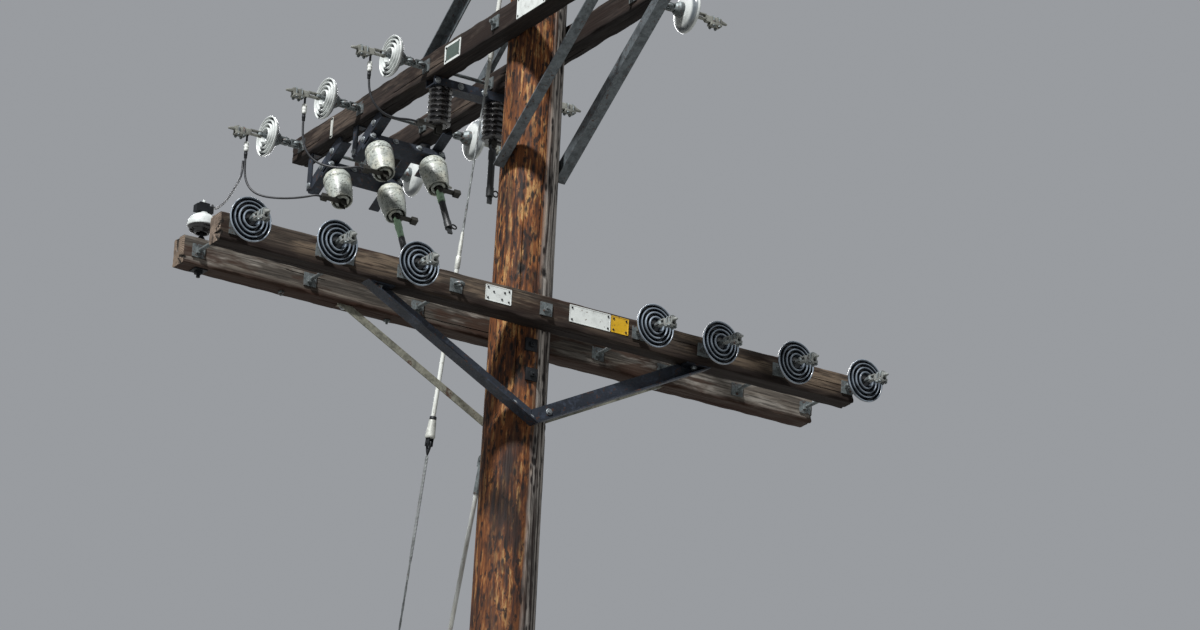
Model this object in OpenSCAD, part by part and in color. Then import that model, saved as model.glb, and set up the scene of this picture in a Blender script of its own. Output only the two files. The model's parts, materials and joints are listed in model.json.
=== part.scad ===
// Wooden utility pole with two levels of double crossarms at right angles.
// Millimetres. Origin on the ground at the centre of the pole, Z up.
// X runs along the lower crossarms, Y along the upper crossarms.

/* [Pole] */
// Height of the pole above the ground
pole_h = 11400; // [9500:50:14000]
// Diameter at the ground
pole_base_d = 338; // [280:1:420]
// Diameter at the top
pole_top_d = 235; // [190:1:300]
// Chamfer round the top of the pole
pole_top_chamfer = 12; // [4:1:30]

/* [Lower crossarms] */
// Height of the middle of the lower crossarms
low_arm_z = 8850; // [7000:10:9500]
// Length of a lower crossarm
low_arm_len = 3068; // [2400:2:3700]
// How far the middle of the lower crossarms lies off the pole, toward +X
low_arm_shift = 12; // [0:1:40]
// Thickness of a lower crossarm, across the pair
low_arm_w = 95; // [70:1:120]
// Height of a lower crossarm
low_arm_h = 121; // [90:1:160]
// Clear space between the two lower crossarms
low_arm_gap = 228; // [200:1:240]

/* [Upper crossarms] */
// Height of the middle of the upper crossarms
up_arm_z = 10170; // [9600:10:10800]
// Length of an upper crossarm
up_arm_len = 3658; // [3000:2:4200]
// Thickness of an upper crossarm, across the pair
up_arm_w = 89; // [70:1:120]
// Height of an upper crossarm
up_arm_h = 114; // [90:1:150]
// Clear space between the two upper crossarms
up_arm_gap = 232; // [200:1:236]
// Chamfer along the top edges of every crossarm
arm_chamfer = 7; // [2:1:14]

/* [Braces] */
// Leg of the angle of the front lower braces
angle_leg = 64; // [40:1:80]
// Leg of the angle of the upper braces
up_angle_leg = 50; // [40:1:70]
// Width of the flat bar of the rear lower braces
strap_w = 32; // [25:1:50]
// Thickness of every brace
angle_t = 6; // [4:0.5:10]
// Spread of a pair of lower braces at the crossarm
low_brace_span = 1524; // [1100:4:1900]
// Drop of the lower braces below the middle of the crossarm
low_brace_drop = 457; // [350:1:600]
// Reach of each upper brace along its crossarm
up_brace_reach = 780; // [600:5:950]
// Drop of the upper braces below the middle of the crossarm
up_brace_drop = 620; // [500:5:800]
// Reach of each raised brace along its crossarm
raised_brace_reach = 700; // [500:5:850]
// Rise of the raised braces above the middle of the crossarm
raised_brace_rise = 590; // [400:5:650]

/* [Crossarm bolts] */
// Diameter of the crossarm bolts
bolt_d = 16; // [12:1:20]
// Clearance round a bolt in its drilled hole, on the radius
bolt_clear = 0.3; // [0.2:0.1:1]
// Side of a square washer
washer_side = 57; // [45:1:70]
// Thickness of a square washer
washer_t = 5; // [3:0.5:8]
// Height of a square nut
nut_h = 13; // [9:1:18]

/* [Suspension insulators] */
// Diameter of the porcelain disc
bell_d = 190; // [150:1:220]
// Length of the extra shackle on the upper strings
shackle_len = 54; // [54:1:90]
// Length of a strain clamp of the upper strings
clamp_len = 160; // [150:1:200]
// Length of a strain clamp of the lower strings
low_clamp_len = 115; // [108:1:150]
// Diameter of the conductor that a strain clamp takes
conductor_d = 16; // [10:0.5:18]

/* [Pin insulator] */
// Diameter of the white pin insulator
pin_bell_d = 124; // [100:1:140]
// Height of the porcelain of the pin insulator
pin_bell_h = 92; // [70:1:120]
// Place of the pin insulator along the rear crossarm
pin_x = -1425; // [-1440:1:-1300]

/* [Switches] */
// Place of the inner switch along the upper crossarms
inner_switch_y = 578; // [480:1:640]
// Place of the middle switch
middle_switch_y = 1133; // [1000:1:1160]
// Place of the outer switch
outer_switch_y = 1517; // [1490:1:1560]
// Distance between the two insulators of a switch
switch_pitch = 275; // [260:1:320]
// Tilt of the two hung switches
switch_tilt = 28; // [22:0.5:32]
// Height of a switch insulator
post_h = 178; // [160:1:200]
// Largest diameter of a switch insulator
post_d = 126; // [110:1:140]
// Diameter of the fuse tube
tube_d = 30; // [20:1:36]
// Depth of the steel channel that carries a switch
channel_h = 38; // [28:1:50]
// Width of that channel
channel_w = 76; // [60:1:100]

/* [Guys] */
// Height of the upper guy on the pole
top_guy_z = 11010; // [10950:10:11200]
// Height of the lower guy on the pole
low_guy_z = 8290; // [6900:10:8300]
// Distance of the ground anchor from the pole
anchor_lead = 1800; // [1500:10:2600]
// Direction of the guys, turned from +Y toward -X
guy_turn = 10; // [6:0.5:14]
// Diameter of the guy strand
strand_d = 10; // [7:0.5:13]
// Diameter of the fibreglass strain rod
rod_d = 19; // [14:1:26]
// Diameter of the anchor rod
anchor_d = 22; // [16:1:32]

/* [Jumpers] */
// Diameter of a jumper lead
jumper_d = 10; // [8:0.5:10]

/* [Hidden] */
$fn = 32;
weather_wood = "#6e6254";
brace_steel = "#2b3036";
zinc = "#9aa0a0";
grey_glaze = "#4a5650";
white_glaze = "#d9dbd6";
speckled_glaze = "#a9ada3";

// Radius of the pole at a height
function pole_r(z) = (pole_base_d - (pole_base_d - pole_top_d) * z / pole_h) / 2;

low_left = low_arm_shift - low_arm_len / 2;
low_right = low_arm_shift + low_arm_len / 2;
low_in = low_arm_gap / 2;
low_out = low_in + low_arm_w;
low_bottom = low_arm_z - low_arm_h / 2;
low_top = low_arm_z + low_arm_h / 2;
up_in = up_arm_gap / 2;
up_out = up_in + up_arm_w;
up_bottom = up_arm_z - up_arm_h / 2;
up_top = up_arm_z + up_arm_h / 2;

// Bolts that tie each pair of crossarms together, measured from the pole
low_tie_x = [low_left + 67, -940, -432, 450, 775, 1155, low_right - 38];
up_tie_y = [-1740, -1190, -595, 595, 1190, 1740];
// Strings of their own bolts through the front crossarm only
low_own_x = [-1060, -680];
// Strings on the front lower crossarm, and the way that each is pulled aside
low_string_x = concat([low_tie_x[0]], low_own_x, [for (i = [3 : 6]) low_tie_x[i]]);
low_string_swing = [2, 2, 2, 5, 5, 5, 6];

// The eye stands this far off the face of the crossarm
eye_off = 30;
eye_r = 17;
eye_bar = 7;
pin_r = eye_r - eye_bar - 0.4;
cheek_t = 6;
cheek_gap = 2 * eye_bar + 1.2;
cheek_r = eye_r - 1;
// A disc, measured from the pin of its clevis
cap_z = eye_r + eye_bar + 3;
shell_z = cap_z + 35;
well_z = shell_z + 22;
tongue_z = shell_z + 70;
tongue_t = 12;
clamp_pin_r = 7;
clamp_cheek_r = clamp_pin_r + 5;

// Switch pieces, measured down from the underside of the channel
hanger_leg = 50;
hanger_t = 5;
hanger_x = up_in + up_arm_w / 2;
post_bore = 21;
post_bore_h = 40;
socket_in = 12;
pivot_drop = post_h + 20;
pivot_d = 12;
pivot_fit = 0.05;
hinge_gap = 20;
hinge_cheek = 5;
lug_t = hinge_gap - 1;
ferrule_r = tube_d / 2 + 2;
ferrule_start = 22;
tube_reach = switch_pitch - 4;
channel_len = 2 * (hanger_x + 32);
terminal_x = switch_pitch / 2 + 92;
terminal_t = 5;
outer_switch_z = up_bottom - 138;
middle_switch_z = up_bottom - 128;
inner_switch_z = up_bottom - channel_h;

// Routes of the jumper leads: the first three run from under a strain clamp to the left terminal
// of a switch, the last from beside the outer one to the clamp of the pin insulator
outer_route = [
    [-484, 1740, 10150], [-484, 1740, 10110], [-484, 1740, 10060], [-484, 1739, 10010],
    [-482, 1737, 9965], [-476, 1729, 9925], [-464, 1712, 9889], [-446, 1686, 9861],
    [-421, 1649, 9840], [-392, 1605, 9826], [-361, 1556, 9816], [-331, 1506, 9810],
    [-304, 1464, 9809], [-281, 1439, 9813], [-262, 1432, 9815], [-244.5, 1432, 9815]
];
middle_route = [
    [-484, 1190, 10150], [-484, 1190, 10110], [-484, 1190, 10060], [-484, 1190, 10010],
    [-481, 1189, 9965], [-473, 1186, 9925], [-459, 1179, 9890], [-438, 1168, 9862],
    [-412, 1152, 9842], [-384, 1131, 9829], [-355, 1106, 9821], [-327, 1080, 9818],
    [-301, 1059, 9820], [-279, 1049, 9824], [-262, 1048, 9825], [-244.5, 1048, 9825]
];
inner_route = [
    [-484, 595, 10150], [-484, 595, 10115], [-484, 595, 10075], [-483, 595, 10036],
    [-479, 595, 9999], [-470, 594, 9965], [-455, 592, 9936], [-434, 590, 9913],
    [-409, 588, 9897], [-383, 585, 9888], [-356, 582, 9885], [-329, 580, 9886],
    [-303, 578, 9890], [-280, 578, 9893], [-262, 578, 9894], [-244.5, 578, 9894]
];
pin_route = [
    [-494.3, 1740, 10022], [-494.4, 1740, 10000], [-497, 1736, 9974], [-506, 1722, 9948],
    [-522, 1694, 9924], [-548, 1648, 9893], [-598, 1559, 9836], [-682, 1410, 9744],
    [-799, 1202, 9619], [-924, 979, 9489], [-1050, 756, 9365], [-1167, 548, 9255],
    [-1267, 370, 9165], [-1334, 251, 9114], [-1362, 202, 9091], [-1378, 174, 9080],
    [-1387, 158, 9076.5], [-1394, 145, 9075.5]
];

// The eye screw of a guy goes this deep into the pole, its eye stands this far off
guy_screw = 170;
guy_eye_off = 60;

module pole() {
    color("#8a4a24")
    difference() {
        union() {
            cylinder(h = pole_h - pole_top_chamfer, r1 = pole_r(0), r2 = pole_r(pole_h - pole_top_chamfer));
            translate([0, 0, pole_h - pole_top_chamfer])
                cylinder(h = pole_top_chamfer, r1 = pole_r(pole_h - pole_top_chamfer),
                         r2 = pole_r(pole_h) - pole_top_chamfer);
        }
        for (s = [-1, 1]) {
            translate([-pole_base_d, s > 0 ? low_in : -low_in - pole_base_d, low_bottom])
                cube([2 * pole_base_d, pole_base_d, low_arm_h]);
            translate([s > 0 ? up_in : -up_in - pole_base_d, -pole_base_d, up_bottom])
                cube([pole_base_d, 2 * pole_base_d, up_arm_h]);
        }
        translate([0, 0, low_arm_z])
            rotate([90, 0, 0])
                cylinder(h = 2 * low_out, r = bolt_d / 2 + bolt_clear, center = true);
        translate([0, 0, up_arm_z])
            rotate([0, 90, 0])
                cylinder(h = 2 * up_out, r = bolt_d / 2 + bolt_clear, center = true);
        for (z = [top_guy_z, low_guy_z])
            rotate([0, 0, guy_turn])
                translate([0, pole_r(z) - guy_screw, z])
                    rotate([-90, 0, 0])
                        cylinder(h = 2 * guy_screw, r = bolt_d / 2 + bolt_clear);
    }
}

// Section of a crossarm, its top edges chamfered to shed water
module arm_section(w, h) {
    polygon([
        [0, -h / 2], [w, -h / 2], [w, h / 2 - arm_chamfer], [w - arm_chamfer, h / 2],
        [arm_chamfer, h / 2], [0, h / 2 - arm_chamfer]
    ]);
}

// Lower crossarm that lies from y = 0 to y = low_arm_w, drilled at each x given
module low_arm(holes) {
    difference() {
        translate([low_left, 0, 0])
            rotate([90, 0, 90])
                linear_extrude(height = low_arm_len)
                    arm_section(low_arm_w, low_arm_h);
        for (x = holes)
            translate([x, low_arm_w / 2, 0])
                rotate([90, 0, 0])
                    cylinder(h = 2 * low_arm_w, r = bolt_d / 2 + bolt_clear, center = true);
    }
}

module front_lower_arm() {
    color(weather_wood)
    translate([0, -low_out, low_arm_z])
        low_arm(concat(low_tie_x, low_own_x, [0]));
}

module rear_lower_arm() {
    color(weather_wood)
    difference() {
        translate([0, low_in, low_arm_z])
            low_arm(concat(low_tie_x, [0]));
        translate([pin_x, low_in + low_arm_w / 2, low_arm_z])
            cylinder(h = 2 * low_arm_h, r = bolt_d / 2 + bolt_clear, center = true);
    }
}

// Upper crossarm that lies from x = 0 to x = up_arm_w
module up_arm() {
    difference() {
        translate([0, up_arm_len / 2, 0])
            rotate([90, 0, 0])
                linear_extrude(height = up_arm_len)
                    arm_section(up_arm_w, up_arm_h);
        for (y = concat(up_tie_y, [0]))
            translate([up_arm_w / 2, y, 0])
                rotate([0, 90, 0])
                    cylinder(h = 2 * up_arm_w, r = bolt_d / 2 + bolt_clear, center = true);
    }
}

module left_upper_arm() {
    color("#3a2c22")
    translate([-up_out, 0, up_arm_z])
        up_arm();
}

module right_upper_arm() {
    color("#3a2c22")
    translate([up_in, 0, up_arm_z])
        up_arm();
}

// Sections of a brace, flat back on the left: an angle, and a flat bar
module angle_section(leg) {
    polygon([
        [0, -leg / 2], [0, leg / 2], [-angle_t, leg / 2], [-angle_t, angle_t - leg / 2],
        [-leg, angle_t - leg / 2], [-leg, -leg / 2]
    ]);
}

module strap_section(w) {
    translate([-angle_t, -w / 2])
        square([angle_t, w]);
}

// Bar of the section given, w wide, from the foot upward to a seat under or over a crossarm. It lies
// in the XZ plane with its flat back on y = 0 and runs from the origin to x = reach, z = rise, where
// a tab is bent level.
module brace_bar(reach, rise, w) {
    tab = 1.7 * w;
    difference() {
        rotate([0, -atan2(rise, reach), 0])
            translate([-2 * w, 0, 0])
                rotate([90, 0, 90])
                    linear_extrude(height = norm([reach, rise]) + 4 * w)
                        children();
        translate([-4 * w + 1, -2 * w, -3 * w])
            cube([4 * w, 4 * w, 6 * w]);
        translate([0, -2 * w, rise])
            cube([reach + 6 * w, 4 * w, 6 * w]);
    }
    translate([reach - tab / 2, -w, rise - angle_t])
        cube([tab, w, angle_t]);
}

// A pair of braces that meet under the arms on the flat back plane at y = 0
module brace_pair(reach, rise, w) {
    brace_bar(reach, rise, w)
        children();
    mirror([1, 0, 0])
        brace_bar(reach, rise, w)
            children();
}

low_foot_z = low_arm_z - low_brace_drop;
low_foot_y = pole_r(low_foot_z - angle_leg);

module front_lower_braces() {
    color(brace_steel)
    translate([0, -low_foot_y, low_foot_z])
        brace_pair(low_brace_span / 2, low_bottom - low_foot_z, angle_leg)
            angle_section(angle_leg);
}

module rear_lower_braces() {
    color(zinc)
    rotate([0, 0, 180])
        translate([0, -low_foot_y, low_foot_z])
            brace_pair(low_brace_span / 2, low_bottom - low_foot_z, strap_w)
                strap_section(strap_w);
}

up_foot_z = up_arm_z - up_brace_drop;
up_foot_x = pole_r(up_foot_z - up_angle_leg);
raised_foot_z = up_arm_z + raised_brace_rise;
raised_foot_x = pole_r(raised_foot_z - up_angle_leg);

// The same piece on the right and on the left
module both_sides() {
    children();
    mirror([1, 0, 0])
        children();
}

module upper_down_braces() {
    color(brace_steel)
    both_sides()
        translate([up_foot_x, 0, up_foot_z])
            rotate([0, 0, -90])
                mirror([0, 1, 0])
                    brace_bar(up_brace_reach, up_bottom - up_foot_z, up_angle_leg)
                        angle_section(up_angle_leg);
}

module upper_raised_braces() {
    color(brace_steel)
    both_sides()
        translate([raised_foot_x, 0, raised_foot_z])
            rotate([0, 0, 90])
                mirror([0, 0, 1])
                    brace_bar(raised_brace_reach, raised_foot_z - up_top, up_angle_leg)
                        angle_section(up_angle_leg);
}

// Square washer and square nut, both standing on z = 0
module washer() {
    translate([-washer_side / 2, -washer_side / 2, 0])
        cube([washer_side, washer_side, washer_t]);
}

module nut() {
    translate([-0.8 * bolt_d, -0.8 * bolt_d, 0])
        cube([1.6 * bolt_d, 1.6 * bolt_d, nut_h]);
}

// Bolt along Z that ties a pair of crossarms: inner and outer are the distances of their faces
// from the middle. Each end has a nut where asked for, and so has the space between the arms
// where free is true.
module tie_bolt(inner, outer, low_nut, high_nut, free) {
    low_end = outer + washer_t + (low_nut ? nut_h + 12 : 0);
    high_end = outer + washer_t + (high_nut ? nut_h + 12 : 0);
    translate([0, 0, -low_end])
        cylinder(h = low_end + high_end, r = bolt_d / 2);
    translate([0, 0, outer])
        washer();
    translate([0, 0, -outer - washer_t])
        washer();
    if (low_nut)
        translate([0, 0, -outer - washer_t - nut_h])
            nut();
    if (high_nut)
        translate([0, 0, outer + washer_t])
            nut();
    if (free)
        for (s = [-1, 1]) {
            translate([0, 0, s > 0 ? inner - washer_t : -inner])
                washer();
            translate([0, 0, s > 0 ? inner - washer_t - nut_h : -inner + washer_t])
                nut();
        }
}

function has_low_string(x) = len([for (v = low_string_x) if (v == x) v]) > 0 || x == low_tie_x[2];

module lower_arm_bolts() {
    color(zinc) {
        for (x = low_tie_x)
            translate([x, 0, low_arm_z])
                rotate([90, 0, 0])
                    tie_bolt(low_in, low_out, true, !has_low_string(x), true);
        translate([0, 0, low_arm_z])
            rotate([90, 0, 0])
                tie_bolt(low_in, low_out, true, true, false);
    }
}

module upper_arm_bolts() {
    color(zinc) {
        for (y = up_tie_y)
            translate([0, y, up_arm_z])
                rotate([0, 90, 0])
                    tie_bolt(up_in, up_out, false, false, true);
        translate([0, 0, up_arm_z])
            rotate([0, 90, 0])
                tie_bolt(up_in, up_out, true, true, false);
    }
}

// Forged eye whose foot stands on the washer of its bolt; the hole of the eye is upright
module eye() {
    translate([0, 0, washer_t])
        cylinder(h = eye_off - cheek_r - 1 - washer_t, r = 13);
    translate([0, 0, eye_off])
        rotate([90, 0, 0])
            rotate_extrude()
                translate([eye_r, 0])
                    circle(r = eye_bar, $fn = 20);
}

// Puts what it holds on the front face of the front lower crossarm, its +Z pointing outward
module on_low_face(x) {
    translate([x, -low_out, low_arm_z])
        rotate([90, 0, 0])
            children();
}

// Puts what it holds on the outer face of an upper crossarm, side is 1 on the right
module on_up_face(side, y) {
    translate([side * up_out, y, up_arm_z])
        rotate([90, 0, 90 * side])
            children();
}

module at_low_string(i) {
    on_low_face(low_string_x[i])
        translate([0, 0, eye_off])
            rotate([0, low_string_swing[i], 0])
                children();
}

module at_up_string(side, y) {
    on_up_face(side, y)
        translate([0, 0, eye_off + shackle_len])
            children();
}

module lower_eyebolts() {
    color(zinc) {
        for (x = concat(low_string_x, [low_tie_x[2]]))
            on_low_face(x)
                eye();
        for (x = low_own_x)
            on_low_face(x) {
                washer();
                translate([0, 0, -low_arm_w - washer_t - nut_h - 10])
                    cylinder(h = low_arm_w + 2 * washer_t + nut_h + 10, r = bolt_d / 2);
                translate([0, 0, -low_arm_w - washer_t])
                    washer();
                translate([0, 0, -low_arm_w - washer_t - nut_h])
                    nut();
            }
    }
}

// Two cheeks with round ends over an eye at the origin, joined at z = reach, and their pin
module clevis(reach) {
    for (s = [-1, 1])
        translate([0, s * (cheek_gap + cheek_t) / 2, 0])
            rotate([90, 0, 0])
                linear_extrude(height = cheek_t, center = true) {
                    circle(r = cheek_r);
                    translate([-cheek_r, 0])
                        square([2 * cheek_r, reach + 4]);
                }
    rotate([90, 0, 0])
        cylinder(h = cheek_gap + 2 * cheek_t + 8, r = pin_r, center = true);
    translate([-cheek_r, -cheek_gap / 2 - cheek_t, reach])
        cube([2 * cheek_r, cheek_gap + 2 * cheek_t, 6]);
}

module upper_eyebolts() {
    color(zinc)
    for (side = [-1, 1], y = up_tie_y)
        on_up_face(side, y) {
            eye();
            translate([0, 0, eye_off]) {
                clevis(cap_z);
                translate([0, 0, shackle_len])
                    rotate([90, 0, 0])
                        rotate_extrude()
                            translate([eye_r, 0])
                                circle(r = eye_bar, $fn = 20);
            }
        }
}

// Porcelain of a disc: domed back, and three ribs and a well on the side away from the pole
module bell_shell() {
    r = bell_d / 2;
    rotate_extrude()
        polygon([
            [0, shell_z], [34, shell_z], [0.62 * r, shell_z + 5], [0.86 * r, shell_z + 16],
            [0.97 * r, shell_z + 27], [r, shell_z + 35],
            [0.98 * r, shell_z + 39], [0.93 * r, shell_z + 38],
            [0.86 * r, shell_z + 25], [0.82 * r, shell_z + 25],
            [0.8 * r, shell_z + 41], [0.74 * r, shell_z + 41],
            [0.72 * r, shell_z + 24], [0.62 * r, shell_z + 24],
            [0.6 * r, shell_z + 44], [0.54 * r, shell_z + 44],
            [0.52 * r, shell_z + 24], [0.42 * r, shell_z + 24],
            [0.4 * r, shell_z + 46], [0.33 * r, shell_z + 46],
            [0.24 * r, well_z], [0, well_z]
        ]);
}

// Cap with its clevis behind the disc, and the pin with its tongue in front
module bell_metal() {
    clevis(cap_z - 3);
    rotate_extrude()
        polygon([
            [0, cap_z], [20, cap_z], [25, cap_z + 5], [33, cap_z + 18], [35, shell_z], [0, shell_z]
        ]);
    translate([0, 0, well_z])
        cylinder(h = tongue_z - well_z - clamp_cheek_r - 1, r = 10);
    translate([0, 0, tongue_z])
        rotate([90, 0, 0])
            difference() {
                linear_extrude(height = tongue_t, center = true) {
                    circle(r = 15);
                    translate([-13, -18])
                        square([26, 18]);
                }
                cylinder(h = 2 * tongue_t, r = clamp_pin_r + 0.4, center = true);
            }
}

// Strain clamp, its pin at the origin and its nose along +Z. Two slim cheeks carry the body. The
// conductor lies in the groove between the body and the keeper, which two U-bolts pull up.
clamp_foot = -20;
keeper_h = 14;
u_bolt_x = 17;
u_bolt_r = 4.5;
u_bolt_low = -42;
u_bolt_high = 20;
u_nut = 14;

module clamp(length) {
    gap = tongue_t + 1.2;
    wall = 5;
    body_from = 0.28 * length;
    groove_from = 0.45 * length;
    groove_to = 0.8 * length;
    inset = 0.09 * length;
    for (s = [-1, 1])
        translate([0, s * (gap + wall) / 2, 0])
            rotate([90, 0, 0])
                linear_extrude(height = wall, center = true) {
                    circle(r = clamp_cheek_r);
                    translate([-clamp_cheek_r, 0])
                        square([2 * clamp_cheek_r, body_from + 2]);
                }
    rotate([90, 0, 0])
        cylinder(h = gap + 2 * wall + 6, r = clamp_pin_r, center = true);
    difference() {
        union() {
            rotate([0, -90, 0])
                linear_extrude(height = 26, center = true)
                    polygon([
                        [body_from, -gap / 2 - wall], [body_from, gap / 2 + wall], [0.34 * length, 13],
                        [0.66 * length, 12], [0.84 * length, 5], [length, -4], [length, -11],
                        [groove_to, -11], [groove_to, clamp_foot], [0.33 * length, clamp_foot]
                    ]);
            translate([-u_bolt_x - u_nut / 2, clamp_foot - keeper_h, groove_from])
                cube([2 * u_bolt_x + u_nut, keeper_h, groove_to - groove_from]);
        }
        translate([0, clamp_foot, groove_from])
            cylinder(h = length, r = conductor_d / 2);
    }
    for (z = [groove_from + inset, groove_to - inset]) {
        for (s = [-1, 1]) {
            translate([s * u_bolt_x, u_bolt_low, z])
                rotate([-90, 0, 0])
                    cylinder(h = u_bolt_high - u_bolt_low, r = u_bolt_r);
            translate([s * u_bolt_x - u_nut / 2, clamp_foot - keeper_h - 8, z - u_nut / 2])
                cube([u_nut, 8, u_nut]);
        }
        translate([-u_bolt_x, u_bolt_high, z])
            rotate([0, 90, 0])
                cylinder(h = 2 * u_bolt_x, r = u_bolt_r);
        translate([-11, 3, z - 5])
            cube([22, u_bolt_high - 3, 10]);
    }
}

low_strings = [for (i = [0 : len(low_string_x) - 1]) i];

module lower_insulators() {
    color(grey_glaze)
    for (i = low_strings)
        at_low_string(i)
            bell_shell();
}

module lower_insulator_caps() {
    color(zinc)
    for (i = low_strings)
        at_low_string(i)
            bell_metal();
}

module lower_strain_clamps() {
    color("#b9bbb2")
    for (i = low_strings)
        at_low_string(i)
            translate([0, 0, tongue_z])
                clamp(low_clamp_len);
}

module upper_insulators() {
    color(white_glaze)
    for (side = [-1, 1], y = up_tie_y)
        at_up_string(side, y)
            bell_shell();
}

module upper_insulator_caps() {
    color(zinc)
    for (side = [-1, 1], y = up_tie_y)
        at_up_string(side, y)
            bell_metal();
}

module upper_strain_clamps() {
    color("#6d6f6c")
    for (side = [-1, 1], y = up_tie_y)
        at_up_string(side, y)
            translate([0, 0, tongue_z])
                clamp(clamp_len);
}

// White insulator on a steel pin through the rear lower crossarm
pin_foot = low_top + washer_t;
pin_seat = low_top + 38;
pin_low = low_bottom - washer_t - nut_h - 14;

module at_pin_insulator() {
    translate([pin_x, low_in + low_arm_w / 2, 0])
        children();
}

pin_clamp_h = 30;
pin_keeper_h = 12;

module pin_insulator() {
    r = pin_bell_d / 2;
    h = pin_bell_h;
    color(white_glaze)
    at_pin_insulator() {
        translate([0, 0, pin_seat])
            rotate_extrude()
                polygon([
                    [0, 0.34 * h], [13, 0.34 * h], [16, 0.02 * h], [24, 0], [29, 0.12 * h],
                    [0.56 * r, 0.4 * h], [0.78 * r, 0.42 * h], [0.93 * r, 0.31 * h], [r, 0.3 * h],
                    [r, 0.36 * h], [0.94 * r, 0.46 * h], [0.8 * r, 0.58 * h], [0.66 * r, 0.68 * h],
                    [0.62 * r, 0.8 * h], [0.62 * r, 0.97 * h], [0.58 * r, h], [0, h]
                ]);
        translate([0, 0, pin_seat + h + pin_clamp_h + pin_keeper_h])
            cylinder(h = 12, r = 7);
    }
}

module pin_insulator_pin() {
    color(zinc)
    at_pin_insulator() {
        translate([0, 0, pin_low])
            cylinder(h = pin_seat + 0.34 * pin_bell_h - pin_low, r = bolt_d / 2);
        translate([0, 0, low_top])
            washer();
        translate([0, 0, pin_foot])
            cylinder(h = 18, r1 = 20, r2 = 12);
        translate([0, 0, low_bottom - washer_t])
            washer();
        translate([0, 0, low_bottom - washer_t - nut_h])
            nut();
        translate([0, 0, pin_seat + pin_bell_h]) {
            translate([-38, -17, 0])
                cube([76, 34, pin_clamp_h]);
            translate([-22, -12, pin_clamp_h])
                cube([44, 24, pin_keeper_h]);
        }
    }
}

// Switches. Each hangs under a channel whose underside is z = 0 of its own frame.
module switch_frame(y, z, tilt) {
    translate([0, y, z])
        rotate([-tilt, 0, 0])
            children();
}

// Place in the whole of a point p of a switch frame
function switch_point(y, z, tilt, p) =
    [p.x, y + p.y * cos(tilt) + p.z * sin(tilt), z - p.y * sin(tilt) + p.z * cos(tilt)];

module at_outer() {
    switch_frame(outer_switch_y, outer_switch_z, switch_tilt)
        children();
}

module at_middle() {
    switch_frame(middle_switch_y, middle_switch_z, switch_tilt)
        children();
}

module at_inner() {
    switch_frame(inner_switch_y, inner_switch_z, 0)
        children();
}

module switch_base() {
    w = channel_w / 2;
    t = 5;
    translate([-channel_len / 2, 0, 0])
        rotate([90, 0, 90])
            linear_extrude(height = channel_len)
                polygon([
                    [-w, 0], [w, 0], [w, channel_h], [w - t, channel_h], [w - t, t],
                    [t - w, t], [t - w, channel_h], [-w, channel_h]
                ]);
}

// Porcelain of the two hung switches: a tapered cup, open below, with an inner tube that holds the
// socket of the contact
module tapered_post() {
    r = post_d / 2;
    h = post_h;
    rotate_extrude()
        polygon([
            [0, 0], [0.6 * r, 0], [0.68 * r, -0.05 * h], [0.87 * r, -0.1 * h], [0.97 * r, -0.17 * h],
            [r, -0.24 * h], [r, -0.31 * h], [0.95 * r, -0.35 * h], [0.98 * r, -0.41 * h],
            [0.96 * r, -0.52 * h], [0.92 * r, -0.66 * h], [0.86 * r, -0.8 * h], [0.8 * r, -0.93 * h],
            [0.76 * r, -h], [0.68 * r, -h], [0.66 * r, post_bore_h - h], [0.53 * r, post_bore_h - h],
            [0.51 * r, -h], [post_bore, -h], [post_bore, post_bore_h - h], [0, post_bore_h - h]
        ]);
}

// Ribbed porcelain of the switch close under the crossarms
module ribbed_post() {
    ribs = 7;
    rib = 0.82 * post_d / 2;
    core = 0.62 * post_d / 2;
    pitch = post_h / ribs;
    rotate_extrude()
        polygon(concat(
            [[0, 0], [core, 0]],
            [for (i = [0 : ribs - 1]) each [
                [core, -(i + 0.2) * pitch], [rib, -(i + 0.45) * pitch],
                [rib, -(i + 0.65) * pitch], [core, -(i + 0.85) * pitch]
            ]],
            [
                [core, -post_h], [post_bore, -post_h],
                [post_bore, post_bore_h - post_h], [0, post_bore_h - post_h]
            ]
        ));
}

module both_posts() {
    for (s = [-1, 1])
        translate([s * switch_pitch / 2, 0, 0])
            children();
}

// Sockets in the bores, hinge cheeks with their pin, contact leaves and the two terminals
module switch_contacts() {
    cheek_w = 26;
    leaf_w = 28;
    leaf_t = 3;
    leaf_low = pivot_drop + 14;
    root = socket_in + 2 - post_h;
    both_posts()
        translate([0, 0, socket_in - post_h])
            cylinder(h = post_bore_h - socket_in, r = post_bore - 0.2);
    for (s = [-1, 1]) {
        translate([switch_pitch / 2, s * (hinge_gap + hinge_cheek) / 2, -pivot_drop])
            rotate([90, 0, 0])
                linear_extrude(height = hinge_cheek, center = true) {
                    circle(r = cheek_w / 2);
                    translate([-cheek_w / 2, 0])
                        square([cheek_w, pivot_drop + root]);
                }
        translate([-(switch_pitch + leaf_w) / 2, s * (hinge_gap + leaf_t) / 2 - leaf_t / 2, -leaf_low])
            cube([leaf_w, leaf_t, leaf_low + root]);
        translate([s * terminal_x - 15, -15, -post_h - 14])
            cube([30, 30, 22]);
        translate([s > 0 ? (switch_pitch - cheek_w) / 2 : -terminal_x, -12, -post_h - terminal_t])
            cube([terminal_x - (switch_pitch - cheek_w) / 2, 24, terminal_t]);
    }
    translate([switch_pitch / 2, 0, -pivot_drop])
        rotate([90, 0, 0])
            cylinder(h = hinge_gap + 2 * hinge_cheek + 8, r = pivot_d / 2, center = true);
}

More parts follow.
